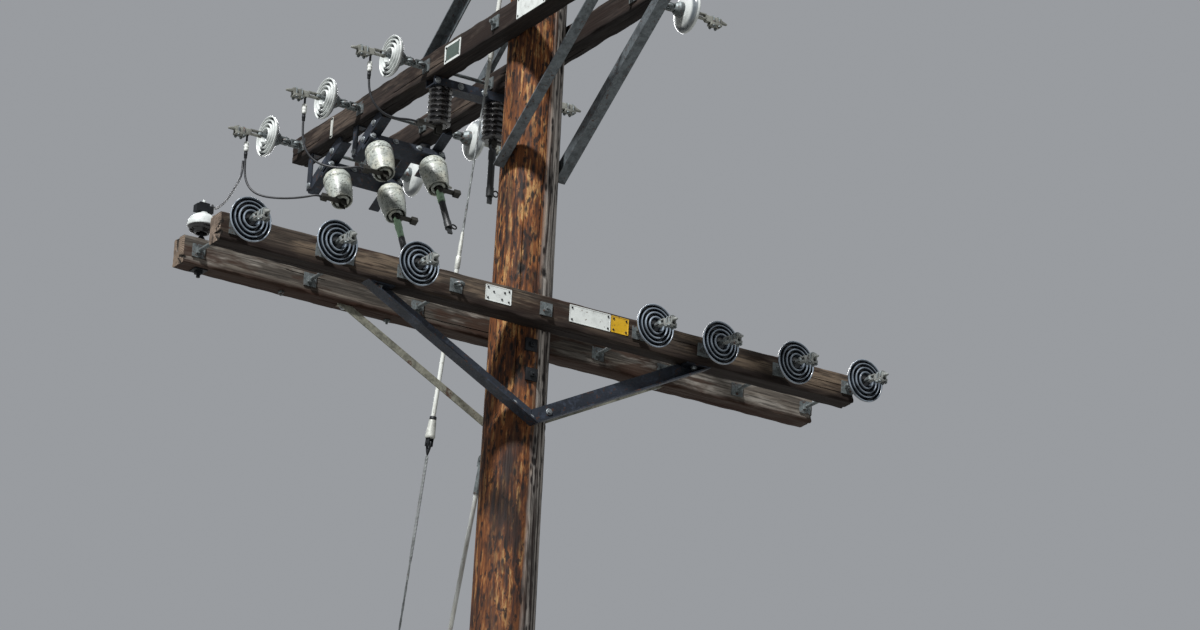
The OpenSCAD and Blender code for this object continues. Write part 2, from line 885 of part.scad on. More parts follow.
// Fuse tube that hangs from its hinge pin at the origin
module fuse_tube() {
    rotate([90, 0, 0])
        difference() {
            linear_extrude(height = lug_t, center = true) {
                circle(r = 12);
                translate([-10, -ferrule_start - 4])
                    square([20, ferrule_start + 4]);
            }
            cylinder(h = 2 * lug_t, r = pivot_d / 2 + pivot_fit, center = true);
        }
    translate([0, 0, -ferrule_start - 44])
        cylinder(h = 44, r = ferrule_r);
    translate([0, 0, 40 - tube_reach])
        cylinder(h = tube_reach - 40 - ferrule_start, r = tube_d / 2);
    translate([0, 0, 34 - tube_reach])
        cylinder(h = 40, r = ferrule_r);
    translate([-11, -4, -tube_reach])
        cube([22, 8, 36]);
    translate([ferrule_r + 12, 0, 52 - tube_reach])
        rotate([90, 0, 0])
            rotate_extrude()
                translate([13, 0])
                    circle(r = 3.5, $fn = 16);
}

module at_pivot() {
    translate([switch_pitch / 2, 0, -pivot_drop])
        children();
}

module switch_bases() {
    color("#30343a") {
        at_outer()
            switch_base();
        at_middle()
            switch_base();
        at_inner()
            switch_base();
    }
}

module tapered_insulators() {
    color(speckled_glaze) {
        at_outer()
            both_posts()
                tapered_post();
        at_middle()
            both_posts()
                tapered_post();
    }
}

module ribbed_insulators() {
    color("#3d4240")
    at_inner()
        both_posts()
            ribbed_post();
}

module outer_switch_contacts() {
    color("#3c4043")
    at_outer()
        switch_contacts();
}

module middle_switch_contacts() {
    color("#3c4043")
    at_middle()
        switch_contacts();
}

module inner_switch_contacts() {
    color("#3c4043")
    at_inner()
        switch_contacts();
}

module outer_switch_tube() {
    color("#9db59a")
    at_outer()
        at_pivot()
            fuse_tube();
}

module middle_switch_tube() {
    color("#9db59a")
    at_middle()
        at_pivot()
            fuse_tube();
}

module inner_switch_tube() {
    color("#25282b")
    at_inner()
        at_pivot()
            fuse_tube();
}

// Sloping angle over one end of a hung channel. Its high end is cut to seat under the crossarm and
// its low end hangs on an upright strap.
module hanger(y, z, strap_at) {
    leg = hanger_leg;
    t = hanger_t;
    seat_at = (up_bottom - z - (channel_h + leg) * cos(switch_tilt)) / sin(switch_tilt) + 32;
    strap = switch_point(y, z, switch_tilt, [0, strap_at, channel_h + leg / 2]);
    reach = seat_at + strap_at + 24;
    difference() {
        switch_frame(y, z, switch_tilt)
            translate([0, -seat_at, channel_h])
                rotate([-90, 0, 0])
                    mirror([0, 1, 0])
                        linear_extrude(height = reach)
                            polygon([
                                [-leg / 2, 0], [leg / 2, 0], [leg / 2, leg], [leg / 2 - t, leg],
                                [leg / 2 - t, t], [-leg / 2, t]
                            ]);
        translate([-leg, y - 2 * reach, up_bottom])
            cube([2 * leg, 4 * reach, reach]);
    }
    translate([leg / 2 - 1, strap.y - 20, strap.z - 20])
        cube([t + 1, 40, up_bottom - strap.z + 20]);
    translate([leg / 2 - 40, strap.y - 20, up_bottom - t])
        cube([40, 40, t]);
}

module switch_hangers() {
    color("#30343a")
    both_sides()
        translate([hanger_x - 4, 0, 0]) {
            hanger(outer_switch_y, outer_switch_z, 150);
            hanger(middle_switch_y, middle_switch_z, 110);
        }
}

function unit(v) = v / norm(v);
function line_dir(p, i) = unit(p[min(i + 1, len(p) - 1)] - p[max(i - 1, 0)]);
function square_to(v, d) = unit(v - (v * d) * d);
// Side directions that follow the line without twisting
function line_sides(p, i = 0, n = [0.3, 1, 0.2]) =
    i == len(p) ? [] : let (m = square_to(n, line_dir(p, i))) concat([m], line_sides(p, i + 1, m));

// Eight-sided wire of diameter d along the points p
module wire(p, d) {
    n = 8;
    side = line_sides(p);
    last = (len(p) - 1) * n;
    polyhedron(
        [for (i = [0 : len(p) - 1], k = [0 : n - 1])
            let (dir = line_dir(p, i), a = 360 * k / n)
                p[i] + d / 2 * (cos(a) * side[i] + sin(a) * cross(dir, side[i]))],
        concat(
            [for (i = [0 : n : last - n], k = [0 : n - 1]) [i + k, i + n + k, i + n + (k + 1) % n]],
            [for (i = [0 : n : last - n], k = [0 : n - 1]) [i + k, i + n + (k + 1) % n, i + (k + 1) % n]],
            [[for (k = [0 : n - 1]) k], [for (k = [n - 1 : -1 : 0]) last + k]]
        )
    );
}

module outer_jumper() {
    color("#1d2126")
        wire(outer_route, jumper_d);
}

module middle_jumper() {
    color("#1d2126")
        wire(middle_route, jumper_d);
}

module inner_jumper() {
    color("#1d2126")
        wire(inner_route, jumper_d);
}

module pin_jumper() {
    color("#1d2126")
        wire(pin_route, jumper_d);
}

// Guys. Each lies in an upright plane turned from +Y toward -X and runs from the eye of its screw
// in the pole to its own loop of the ground anchor.
anchor_loop_x = 24;
anchor_loop_z = 260;
thimble_len = 50;
link_len = 24;
top_cone = 90;
low_cone = 50;
short_cone = 40;
top_rods = [[250, 850], [1790, 2480]];
low_rod = [150, 1590];

function guy_top(z) = [0, pole_r(z) + guy_eye_off, z];
function guy_end(s) = [s * anchor_loop_x, anchor_lead, anchor_loop_z];
function guy_length(z, s) = norm(guy_end(s) - guy_top(z));

// Puts what it holds at the top of a guy, its +Z pointing down the guy; s is the side of its loop
module along_guy(z, s) {
    v = guy_end(s) - guy_top(z);
    rotate([0, 0, guy_turn])
        translate(guy_top(z))
            rotate([0, acos(v.z / norm(v)), atan2(v.y, v.x)])
                children();
}

module on_top_guy() {
    along_guy(top_guy_z, 1)
        children();
}

module on_low_guy() {
    along_guy(low_guy_z, -1)
        children();
}

// Stretch of round bar from one distance down a guy to another
module stretch(from, to, d) {
    translate([0, 0, from])
        cylinder(h = to - from, r = d / 2);
}

// Collar, flared socket and links under the end of a strain rod that lies above z = 0
module rod_end(cone) {
    rotate_extrude()
        polygon([
            [0, 0], [rod_d / 2 + 4, 0], [rod_d / 2 + 4, 12], [rod_d / 2 + 7, 16],
            [rod_d / 2 + 12, cone], [0, cone]
        ]);
    for (s = [-1, 1])
        translate([-14, s * 10 - 3, cone])
            cube([28, 6, link_len + 14]);
    translate([0, 0, cone + link_len])
        rotate([90, 0, 0])
            cylinder(h = 36, r = 6, center = true);
}

// Teardrop thimble on the pin under a rod end, where a strand begins
module thimble(cone) {
    translate([0, 0, cone + link_len])
        rotate([90, 0, 0])
            linear_extrude(height = 12, center = true)
                difference() {
                    union() {
                        circle(r = 17);
                        polygon([[-17, 2], [17, 2], [7, thimble_len], [-7, thimble_len]]);
                    }
                    circle(r = 6.3);
                }
}

module rod_end_with_thimble(cone) {
    rod_end(cone);
    thimble(cone);
}

// Screw with a forged eye, a curved washer and the clevis and ferrule that start the guy
module guy_eye(z) {
    rotate([0, 0, guy_turn]) {
        translate([0, pole_r(z), z])
            rotate([-90, 0, 0]) {
                translate([0, 0, 6 - guy_screw])
                    cylinder(h = guy_screw + guy_eye_off - eye_r - 6, r = bolt_d / 2);
                translate([0, 0, washer_t])
                    cylinder(h = guy_eye_off - eye_r - washer_t, r = 13);
                translate([0, 0, guy_eye_off])
                    rotate([0, 90, 0])
                        rotate_extrude()
                            translate([eye_r, 0])
                                circle(r = eye_bar, $fn = 20);
            }
        difference() {
            translate([-washer_side / 2, pole_r(z) - 8, z - washer_side / 2])
                cube([washer_side, washer_t + 8, washer_side]);
            cylinder(h = pole_h, r1 = pole_r(0) + 0.1, r2 = pole_r(pole_h) + 0.1);
        }
    }
}

module top_guy_eye() {
    color(zinc) {
        guy_eye(top_guy_z);
        on_top_guy() {
            clevis(cap_z);
            stretch(cap_z + 6, 90, strand_d + 12);
        }
    }
}

module top_guy_strands() {
    color(zinc)
    on_top_guy() {
        stretch(90, top_rods[0][0] - short_cone - link_len - thimble_len, strand_d);
        stretch(top_rods[0][1] + top_cone + link_len + thimble_len,
                top_rods[1][0] - short_cone - link_len - thimble_len, strand_d);
        stretch(top_rods[1][1] + top_cone + link_len + thimble_len,
                guy_length(top_guy_z, 1) - cap_z - 6, strand_d);
    }
}

module top_guy_rods() {
    color("#dfe2dc")
    on_top_guy()
        for (r = top_rods)
            stretch(r[0], r[1], rod_d);
}

module top_guy_fittings() {
    color("#6f7471")
    on_top_guy()
        for (r = top_rods) {
            translate([0, 0, r[1]])
                rod_end_with_thimble(top_cone);
            translate([0, 0, r[0]])
                mirror([0, 0, 1])
                    rod_end_with_thimble(short_cone);
        }
}

module low_guy_eye() {
    color(zinc) {
        guy_eye(low_guy_z);
        on_low_guy() {
            clevis(cap_z);
            stretch(cap_z + 6, low_rod[0], rod_d + 10);
        }
    }
}

module low_guy_strand() {
    color(zinc)
    on_low_guy()
        stretch(low_rod[1] + low_cone + link_len + thimble_len,
                guy_length(low_guy_z, -1) - cap_z - 6, strand_d);
}

module low_guy_rod() {
    color("#dfe2dc")
    on_low_guy()
        stretch(low_rod[0], low_rod[1], rod_d);
}

module low_guy_fitting() {
    color("#6f7471")
    on_low_guy()
        translate([0, 0, low_rod[1]])
            rod_end_with_thimble(low_cone);
}

// Rod out of the ground with two loops side by side, and the clevis of each guy
module guy_anchor() {
    dir = unit(guy_end(0) - guy_top((top_guy_z + low_guy_z) / 2));
    color(zinc) {
        rotate([0, 0, guy_turn]) {
            for (s = [-1, 1])
                translate(guy_end(s))
                    rotate([0, 90, 0])
                        rotate_extrude()
                            translate([eye_r, 0])
                                circle(r = eye_bar, $fn = 20);
            translate(guy_end(0) + (eye_r + 10) * dir)
                rotate([0, 90, 0])
                    cylinder(h = 2 * anchor_loop_x + 14, r = 9, center = true);
            difference() {
                translate(guy_end(0) + (eye_r + 10) * dir)
                    rotate([0, acos(dir.z), atan2(dir.y, dir.x)])
                        cylinder(h = 1.3 * anchor_loop_z, r = anchor_d / 2);
                translate([-anchor_loop_z, anchor_lead - anchor_loop_z, -anchor_loop_z])
                    cube([2 * anchor_loop_z, 3 * anchor_loop_z, anchor_loop_z]);
            }
        }
        on_top_guy()
            translate([0, 0, guy_length(top_guy_z, 1)])
                mirror([0, 0, 1])
                    clevis(cap_z);
        on_low_guy()
            translate([0, 0, guy_length(low_guy_z, -1)])
                mirror([0, 0, 1])
                    clevis(cap_z);
    }
}

pole();
front_lower_arm();
rear_lower_arm();
left_upper_arm();
right_upper_arm();
front_lower_braces();
rear_lower_braces();
upper_down_braces();
upper_raised_braces();
lower_arm_bolts();
upper_arm_bolts();
lower_eyebolts();
lower_insulators();
lower_insulator_caps();
lower_strain_clamps();
upper_eyebolts();
upper_insulators();
upper_insulator_caps();
upper_strain_clamps();
pin_insulator();
pin_insulator_pin();
switch_hangers();
switch_bases();
tapered_insulators();
ribbed_insulators();
outer_switch_contacts();
middle_switch_contacts();
inner_switch_contacts();
outer_switch_tube();
middle_switch_tube();
inner_switch_tube();
outer_jumper();
middle_jumper();
inner_jumper();
pin_jumper();
top_guy_eye();
top_guy_strands();
top_guy_rods();
top_guy_fittings();
low_guy_eye();
low_guy_strand();
low_guy_rod();
low_guy_fitting();
guy_anchor();
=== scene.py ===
"""Looks of a wooden utility pole with two levels of crossarms, insulators, switches and guys.

Laid out as a Blender add-on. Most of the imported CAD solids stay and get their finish. The pole,
the crossarms, the porcelain discs, the strain clamps, the pin insulator, the guy strands, the
ends of the strain rods and the jumper leads are modelled anew in the places of their CAD nodes,
and plates, bolts, nails and split pins are added.
"""

import json
import math

import bpy
import numpy as np
from mathutils import Matrix, Vector


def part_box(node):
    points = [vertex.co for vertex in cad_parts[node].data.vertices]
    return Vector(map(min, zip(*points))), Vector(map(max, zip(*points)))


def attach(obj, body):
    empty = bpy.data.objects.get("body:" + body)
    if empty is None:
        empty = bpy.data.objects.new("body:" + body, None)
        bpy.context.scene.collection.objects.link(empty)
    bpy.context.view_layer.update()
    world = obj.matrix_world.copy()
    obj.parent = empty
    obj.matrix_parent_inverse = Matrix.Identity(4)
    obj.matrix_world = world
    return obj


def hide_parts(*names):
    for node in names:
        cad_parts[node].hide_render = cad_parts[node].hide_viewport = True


bl_info = {
    "name": "Utility Pole Looks",
    "version": (1, 0, 0),
    "blender": (4, 5, 0),
    "location": "3D View > Sidebar > Utility Pole",
    "description": "Dresses the CAD frame of a wooden utility pole",
    "category": "Object",
}

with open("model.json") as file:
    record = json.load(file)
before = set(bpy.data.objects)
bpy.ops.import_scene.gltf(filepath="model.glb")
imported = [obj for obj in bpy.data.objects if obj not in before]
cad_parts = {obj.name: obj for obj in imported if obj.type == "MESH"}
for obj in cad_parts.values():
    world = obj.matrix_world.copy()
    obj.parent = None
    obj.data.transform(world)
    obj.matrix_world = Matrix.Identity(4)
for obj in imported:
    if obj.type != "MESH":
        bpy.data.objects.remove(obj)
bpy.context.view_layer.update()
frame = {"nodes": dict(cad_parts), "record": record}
BODY = "pole_and_gear"

# Measures that pieces share, in metres, as in the CAD part
POLE_TOP, FOOT_RADIUS, TOP_RADIUS = 11.4, 0.169, 0.1175
# Underside and top of each level of crossarms
LOWER_ARMS, UPPER_ARMS = (8.7895, 8.9105), (10.113, 10.227)
# Heights of the strings' eyes
LOWER_EYES, UPPER_EYES = 8.850, 10.170
# Outer faces that carry the strings: the front lower arm's along Y, the upper arms' along X
FRONT_FACE, SIDE_FACE = -0.209, 0.205
# Flats of the pole's seats, from its middle
LOWER_FLAT, UPPER_FLAT = 0.114, 0.116
# Each switch's frame, its place along Y and Z and its tilt in degrees, and the tube's hinge in it
OUTER_SWITCH = (1.517, 9.975, 28)
MIDDLE_SWITCH = (1.133, 9.985, 28)
INNER_SWITCH = (0.578, 10.075, 0)
HINGE = (0.1375, 0.0, -0.198)
# Heights of the guys' eyes, how far these stand off the pole, and the guys' turn in degrees
TOP_GUY, LOW_GUY, GUY_EYE_OFF, GUY_TURN = 11.01, 8.29, 0.060, 10
# The guys' lower ends, 24 mm to each side, before that turn
ANCHOR = (0.024, 1.8, 0.26)


def linear(hexcode):
    """Turns an sRGB hex colour into the linear values that Blender works in."""
    values = [int(hexcode[i:i + 2], 16) / 255 for i in (1, 3, 5)]
    return [v / 12.92 if v <= 0.04045 else ((v + 0.055) / 1.055) ** 2.4 for v in values]


# Sizes and colours that a user would change


def colour(name, description, hexcode):
    return bpy.props.FloatVectorProperty(
        name=name, description=description, default=linear(hexcode), subtype="COLOR",
        size=3, min=0.0, max=1.0)


def length(name, description, metres, least, most):
    return bpy.props.FloatProperty(
        name=name, description=description, default=metres, min=least, max=most,
        subtype="DISTANCE", unit="LENGTH")


class PoleColours(bpy.types.PropertyGroup):
    resin: colour("Resin", "Orange resin that has run down the pole", "#744420")
    dried_resin: colour("Dried resin", "Tan crust where the resin has dried", "#9a794c")
    heartwood: colour("Heartwood", "Red-brown treated wood under the resin", "#361d12")
    pitch: colour("Pitch", "Dark flecks, knots and checks", "#0f0a09")
    weathered: colour("Weathered wood", "Grey wood on the pole's dry side", "#a09a93")
    lower_arms: colour("Lower crossarms", "Weathered sawn timber", "#4d443c")
    upper_arms: colour("Upper crossarms", "Dark treated timber", "#2c2420")
    # Painted shade: this near-black stands for the braces', hangers' and channels' steel in shade
    steel: colour("Brace steel", "Dark dull steel of braces, hangers and channels", "#262c36")
    zinc: colour("Zinc", "Aged hot-dip galvanised hardware", "#737a7b")
    disc_glaze: colour("Lower disc glaze", "Grey-green porcelain", "#272d34")
    # Painted highlight: the pale colour laid on the lower discs' crests and rims
    crest_highlight_glaze: colour("Lower disc crests", "Pale worn crests of the lower discs", "#7d8791")
    white_glaze: colour("White glaze", "White porcelain", "#b7bbb9")
    post_glaze: colour("Post glaze", "Pale grey-green speckled porcelain", "#8e938d")
    tube: colour("Fuse tube", "Pale green fibre of the fuse tubes", "#8fae8f")
    tube_end: colour("Tube end", "Charred dark end of the fuse tubes", "#1d1f20")
    lead_cover: colour("Lead cover", "Dark covering of the jumper leads", "#15171b")
    fibreglass: colour("Fibreglass", "White coat of the strain rods", "#bfc2be")
    plate: colour("Plate rims", "White enamel of the plates", "#bfc3c0")
    plate_field: colour("Plate field", "Faded face of the number plate", "#3f4c46")
    tag: colour("Tag", "Yellow tag beside the long plate", "#bd951d")


class PoleSizes(bpy.types.PropertyGroup):
    lead_diameter: length("Lead diameter", "Diameter of the jumper leads", 0.010, 0.006, 0.02)
    check_depth: length("Check depth", "Deepest drying crack in the pole", 0.014, 0.003, 0.03)
    arm_check_depth: length("Arm check depth", "Deepest crack in a crossarm", 0.009, 0.002, 0.02)
    plate_thickness: length("Plate thickness", "Sheet of the plates", 0.0015, 0.0005, 0.004)
    strand_lay: length("Strand lay", "Length of one turn of the guy strand's wires", 0.14, 0.08, 0.25)
    bolt_width: length(
        "Bolt width", "Width of a brace bolt's head across its corners", 0.021, 0.015, 0.04)


def colours():
    return bpy.context.scene.utility_pole_colours


def sizes():
    return bpy.context.scene.utility_pole_sizes


# Materials


def tone(values, k):
    return [v * k for v in values]


class Coat:
    """A material in the making: its tree, its shader, its Object coordinates and its colour."""

    def __init__(self, name, base, roughness, metallic=0.0, **more):
        self.material = bpy.data.materials.new(name)
        self.material.use_nodes = True
        self.tree = self.material.node_tree
        self.tree.nodes.clear()
        sockets = {"Base Color": base, "Roughness": roughness, "Metallic": metallic}
        sockets.update({key.replace("_", " "): value for key, value in more.items()})
        surface = self.add("ShaderNodeBsdfPrincipled", "BSDF", sockets)
        self.add("ShaderNodeOutputMaterial", None, {"Surface": surface})
        self.shader = surface.node
        self.place = self.add("ShaderNodeTexCoord", "Object", {})
        self.body = list(base)

    def add(self, kind, out, sockets, **settings):
        """Adds one shader node with its settings and links, and returns the output asked for."""
        made = self.tree.nodes.new(kind)
        for key, value in settings.items():
            setattr(made, key, value)
        for key, value in sockets.items():
            if isinstance(value, bpy.types.NodeSocket):
                self.tree.links.new(value, made.inputs[key])
            elif made.inputs[key].type == "RGBA":
                made.inputs[key].default_value = list(value)[:3] + [1.0]
            else:
                made.inputs[key].default_value = value
        return made.outputs[out] if made.outputs else None

    def stretched(self, axis, share):
        """The coordinates squeezed along an axis, so that a pattern runs long that way."""
        scale = [1.0] * 3
        scale[axis] = share
        return self.add("ShaderNodeMapping", 0, {"Vector": self.place, "Scale": scale})

    def centred(self, point):
        """The coordinates counted from a point."""
        back = [-v for v in point]
        return self.add("ShaderNodeMapping", 0, {"Vector": self.place, "Location": back})

    def noise(self, way, scale, detail=2.0, roughness=0.5, distortion=0.0):
        return self.add("ShaderNodeTexNoise", "Fac", {
            "Vector": way, "Scale": scale, "Detail": detail, "Roughness": roughness,
            "Distortion": distortion})

    def ranged(self, value, low, high, start=0.0, end=1.0):
        """A value from start to end where the given one goes from low to high."""
        return self.add("ShaderNodeMapRange", 0, {0: value, 1: low, 2: high, 3: start, 4: end})

    def along(self, place, way):
        """How far a place lies along a direction."""
        return self.add(
            "ShaderNodeVectorMath", "Value", {0: place, 1: way}, operation="DOT_PRODUCT")

    def height(self):
        return self.add("ShaderNodeSeparateXYZ", "Z", {"Vector": self.place})

    def kept(self, name):
        """A value that painted() has kept for each vertex."""
        return self.add("ShaderNodeAttribute", "Fac", {}, attribute_name=name)

    def graded(self, value, stops):
        """A colour that follows a value through its stops."""
        made = self.add("ShaderNodeValToRGB", "Color", {"Fac": value})
        elements = made.node.color_ramp.elements
        for _ in stops[2:]:
            elements.new(1.0)
        for element, (position, hue) in zip(elements, stops):
            element.position = position
            element.color = list(hue)[:3] + [1.0]
        return made

    def laid(self, mask, over):
        """Lays a colour over the body as far as a mask says."""
        self.body = self.add("ShaderNodeMix", 2, {0: mask, 6: self.body, 7: over}, data_type="RGBA")

    def ramped(self, value, low, high, most, over):
        """Lays a colour over the body where a value goes from low to high."""
        self.laid(self.ranged(value, low, high, 0.0, most), over)

    def blotched(self, scale, low, high, most, over, way=None):
        """Lays a colour over the body in the blotches of a noise, cut between two of its levels."""
        self.ramped(self.noise(way or self.place, scale, 4.0, 0.62), low, high, most, over)

    def flecked(self, scale, size, most, over, way=None):
        """Lays a colour over the body in separate flecks, one to each cell of a Voronoi pattern."""
        way = way or self.place
        away = self.add("ShaderNodeTexVoronoi", "Distance", {"Vector": way, "Scale": scale})
        mask = self.ranged(away, size, size * 0.5, 0.0, most)
        some = self.ranged(self.noise(way, scale * 0.22), 0.44, 0.54)
        self.laid(self.add("ShaderNodeMath", 0, {0: mask, 1: some}, operation="MULTIPLY"), over)

    def surfaced(self, scale, smoothest, roughest, relief, way=None):
        """Gives the shader its colour, a roughness that wanders and a relief in metres."""
        grit = self.noise(way or self.place, scale, 4.0)
        rough = self.ranged(grit, 0.3, 0.7, smoothest, roughest)
        bumped = self.add(
            "ShaderNodeBump", 0, {"Height": grit, "Distance": relief, "Strength": 1.0})
        for value, socket in ((self.body, "Base Color"), (rough, "Roughness"), (bumped, "Normal")):
            self.tree.links.new(value, self.shader.inputs[socket])
        return self.material


def pole_wood():
    # Pine pole treated under pressure: resin has bled out in orange streaks 15 to 30 mm wide and
    # dried to a tan crust, pitch stands in flecks of about 10 by 25 mm, and the dry side is grey.
    c = colours()
    coat = Coat("resin_streaked_treated_pine", c.heartwood, 0.78, IOR=1.5, Specular_IOR_Level=0.25)
    streak_way, grain_way, fleck_way = (coat.stretched(2, share) for share in (0.14, 0.035, 0.36))
    coat.body = coat.graded(coat.noise(streak_way, 48.0, 5.0, 0.68, 0.15), [
        (0.34, list(c.pitch)), (0.42, list(c.heartwood)), (0.49, tone(c.resin, 0.55)),
        (0.54, list(c.resin)), (0.61, list(c.dried_resin)), (0.68, tone(c.resin, 0.8))])
    # Grain lines, drawn 6 mm apart so that they show, where the real ones are 2 to 4 mm
    coat.blotched(165.0, 0.50, 0.62, 0.6, tone(c.heartwood, 0.45), grain_way)
    coat.blotched(9.0, 0.46, 0.60, 0.6, tone(c.resin, 0.75), fleck_way)
    coat.blotched(13.0, 0.53, 0.62, 0.75, tone(c.heartwood, 0.6), fleck_way)
    coat.blotched(56.0, 0.56, 0.61, 0.9, list(c.pitch), fleck_way)
    # The side toward +X and -Y is dry and grey, in streaks
    dry_side = coat.along(coat.place, (0.85, -0.53, 0.0))
    grey = coat.graded(coat.noise(grain_way, 60.0, 5.0, 0.65), [
        (0.40, tone(c.pitch, 1.8)), (0.49, tone(c.weathered, 0.4)), (0.57, list(c.weathered))])
    coat.ramped(dry_side, 0.070, 0.092, 0.94, grey)
    coat.flecked(46.0, 0.42, 0.95, list(c.pitch), fleck_way)
    coat.blotched(5.5, 0.57, 0.66, 0.8, tone(c.pitch, 1.6), fleck_way)
    # The pole is drawn darker from 8.5 m down to 6.8 m
    coat.ramped(coat.height(), 8.5, 6.8, 0.45, tone(c.heartwood, 0.35))
    coat.ramped(coat.kept("check"), 0.05, 0.5, 0.96, tone(c.pitch, 0.6))
    return coat.surfaced(150.0, 0.6, 0.9, 0.002, grain_way)


def arm_wood(name, base, along, bare, stain, foot, foot_low, foot_high):
    # Sawn fir: growth lines along the timber that the weather has raised, silver-grey where the
    # treatment has gone, and a dark foot where water hangs
    coat = Coat(name, base, 0.85, IOR=1.5, Specular_IOR_Level=0.2)
    grain_way, patch_way = coat.stretched(along, 0.04), coat.stretched(along, 0.22)
    coat.body = coat.graded(coat.noise(grain_way, 30.0, 5.0, 0.62, 0.3), [
        (0.34, tone(base, 0.3)), (0.45, tone(base, 0.7)), (0.54, list(base)), (0.66, tone(base, 1.6))])
    coat.blotched(9.0, 0.49, 0.58, 0.8, bare, patch_way)
    # Growth lines, drawn 8 mm apart so that they show, where the real ones are 3 to 5 mm
    coat.blotched(120.0, 0.49, 0.58, 0.75, tone(base, 0.25), grain_way)
    coat.blotched(13.0, 0.52, 0.60, 0.85, stain, patch_way)
    coat.ramped(coat.height(), foot_high, foot_low, 0.85, foot)
    coat.ramped(coat.kept("check"), 0.05, 0.5, 0.95, tone(base, 0.06))
    return coat.surfaced(130.0, 0.7, 0.95, 0.0015, grain_way)


def end_grain(name, base, along, pith):
    # Sawn end of a fir or pine timber: growth rings round the pith, split and dirty. The rings are
    # drawn 9 mm apart so that they show, where the real ones are 3 to 5 mm.
    coat = Coat(name, base, 0.9, IOR=1.5, Specular_IOR_Level=0.2)
    rings = coat.add("ShaderNodeTexWave", "Fac", {
        "Vector": coat.centred(pith), "Scale": 35.0, "Distortion": 2.5, "Detail": 3.0,
        "Detail Scale": 0.6}, wave_type="RINGS", rings_direction="XYZ"[along])
    coat.body = coat.graded(rings, [(0.1, tone(base, 0.45)), (0.5, list(base)), (0.9, tone(base, 1.35))])
    coat.blotched(22.0, 0.48, 0.62, 0.7, tone(base, 0.3))
    coat.ramped(coat.kept("check"), 0.05, 0.5, 0.95, tone(base, 0.05))
    return coat.surfaced(170.0, 0.75, 0.95, 0.0012)


def rolled_steel(name, base):
    # Hot-rolled angle and channel, drawn near-black as painted shade, with rust in patches of 20 to 40
    # mm
    coat = Coat(name, base, 0.5, 0.35)
    coat.blotched(13.0, 0.40, 0.60, 0.8, tone(base, 0.45))
    coat.blotched(26.0, 0.54, 0.66, 0.6, tone(base, 2.4))
    coat.blotched(48.0, 0.60, 0.66, 0.75, linear("#4a2f20"))
    return coat.surfaced(150.0, 0.42, 0.68, 0.0007)


def zinc_coat(name, base, smoothest, roughest, rust_from, rust_scale=60.0):
    # Hot-dip zinc, years old: the spangle, 8 mm across, has dulled to patches of grey, and rust
    # shows where the coat wore through
    coat = Coat(name, base, smoothest, 0.6)
    spangle = coat.add("ShaderNodeTexVoronoi", "Color", {"Vector": coat.place, "Scale": 120.0})
    spangle = coat.add("ShaderNodeSeparateColor", 0, {"Color": spangle})
    coat.ramped(spangle, 0.0, 1.0, 0.55, tone(base, 0.5))
    coat.blotched(28.0, 0.48, 0.62, 0.65, tone(base, 0.33))
    # Rust patches; on the flat bar they are drawn large and are partly painted shadow
    coat.blotched(rust_scale, rust_from, rust_from + 0.07, 0.8, linear("#4a2c1f"))
    return coat.surfaced(240.0, smoothest, roughest, 0.0006)


def porcelain(name, base, crest, groove):
    # Wet-process porcelain: a glassy glaze over ribs. The grooves are given a dark colour as painted
    # shade, and the crests and the rim a pale one as a painted highlight.
    coat = Coat(name, base, 0.2, IOR=1.5, Coat_Weight=0.35, Coat_Roughness=0.08)
    ribs = coat.kept("crest")
    # Painted shade: the grooves keep the dark groove colour
    coat.body = groove
    coat.ramped(ribs, 0.0, 0.5, 1.0, list(base))
    # Painted highlight: the crests and the rim take the pale crest colour
    coat.ramped(ribs, 0.75, 1.0, 0.9, crest)
    coat.blotched(5.0, 0.48, 0.60, 0.45, list(base))
    coat.blotched(20.0, 0.50, 0.66, 0.45, tone(base, 0.4))
    return coat.surfaced(60.0, 0.12, 0.38, 0.0005)


def post_porcelain(name, base):
    # Pale grey-green glaze over a coarse body: iron specks, cream blooms and sooty runs. The
    # specks are drawn 5 to 8 mm across so that they show, where the real ones are 2 to 4 mm.
    coat = Coat(name, base, 0.4, IOR=1.5, Coat_Weight=0.1, Coat_Roughness=0.3)
    coat.blotched(18.0, 0.46, 0.62, 0.6, linear("#a9a797"))
    coat.blotched(15.0, 0.56, 0.66, 0.6, tone(base, 0.4))
    coat.flecked(80.0, 0.40, 0.85, tone(base, 0.14))
    coat.blotched(95.0, 0.54, 0.61, 0.7, tone(base, 0.25))
    return coat.surfaced(70.0, 0.35, 0.6, 0.0006)


def smooth_glaze(name, base, soot):
    # Glazed porcelain seen whole: smooth and glassy, with a film of soot
    coat = Coat(name, base, 0.18, IOR=1.5, Coat_Weight=0.35, Coat_Roughness=0.08)
    coat.blotched(22.0, 0.48, 0.66, 0.6, soot)
    coat.flecked(120.0, 0.3, 0.5, tone(soot, 0.6))
    return coat.surfaced(50.0, 0.12, 0.35, 0.0005)


def cast_metal(name, base, smoothest, roughest, metallic):
    # Sand-cast or forged surface: grit of 3 to 5 mm, dulled high spots and grime in the hollows
    coat = Coat(name, base, smoothest, metallic)
    coat.blotched(24.0, 0.46, 0.62, 0.6, tone(base, 0.45))
    coat.blotched(70.0, 0.56, 0.66, 0.4, tone(base, 1.35))
    return coat.surfaced(190.0, smoothest, roughest, 0.0005)


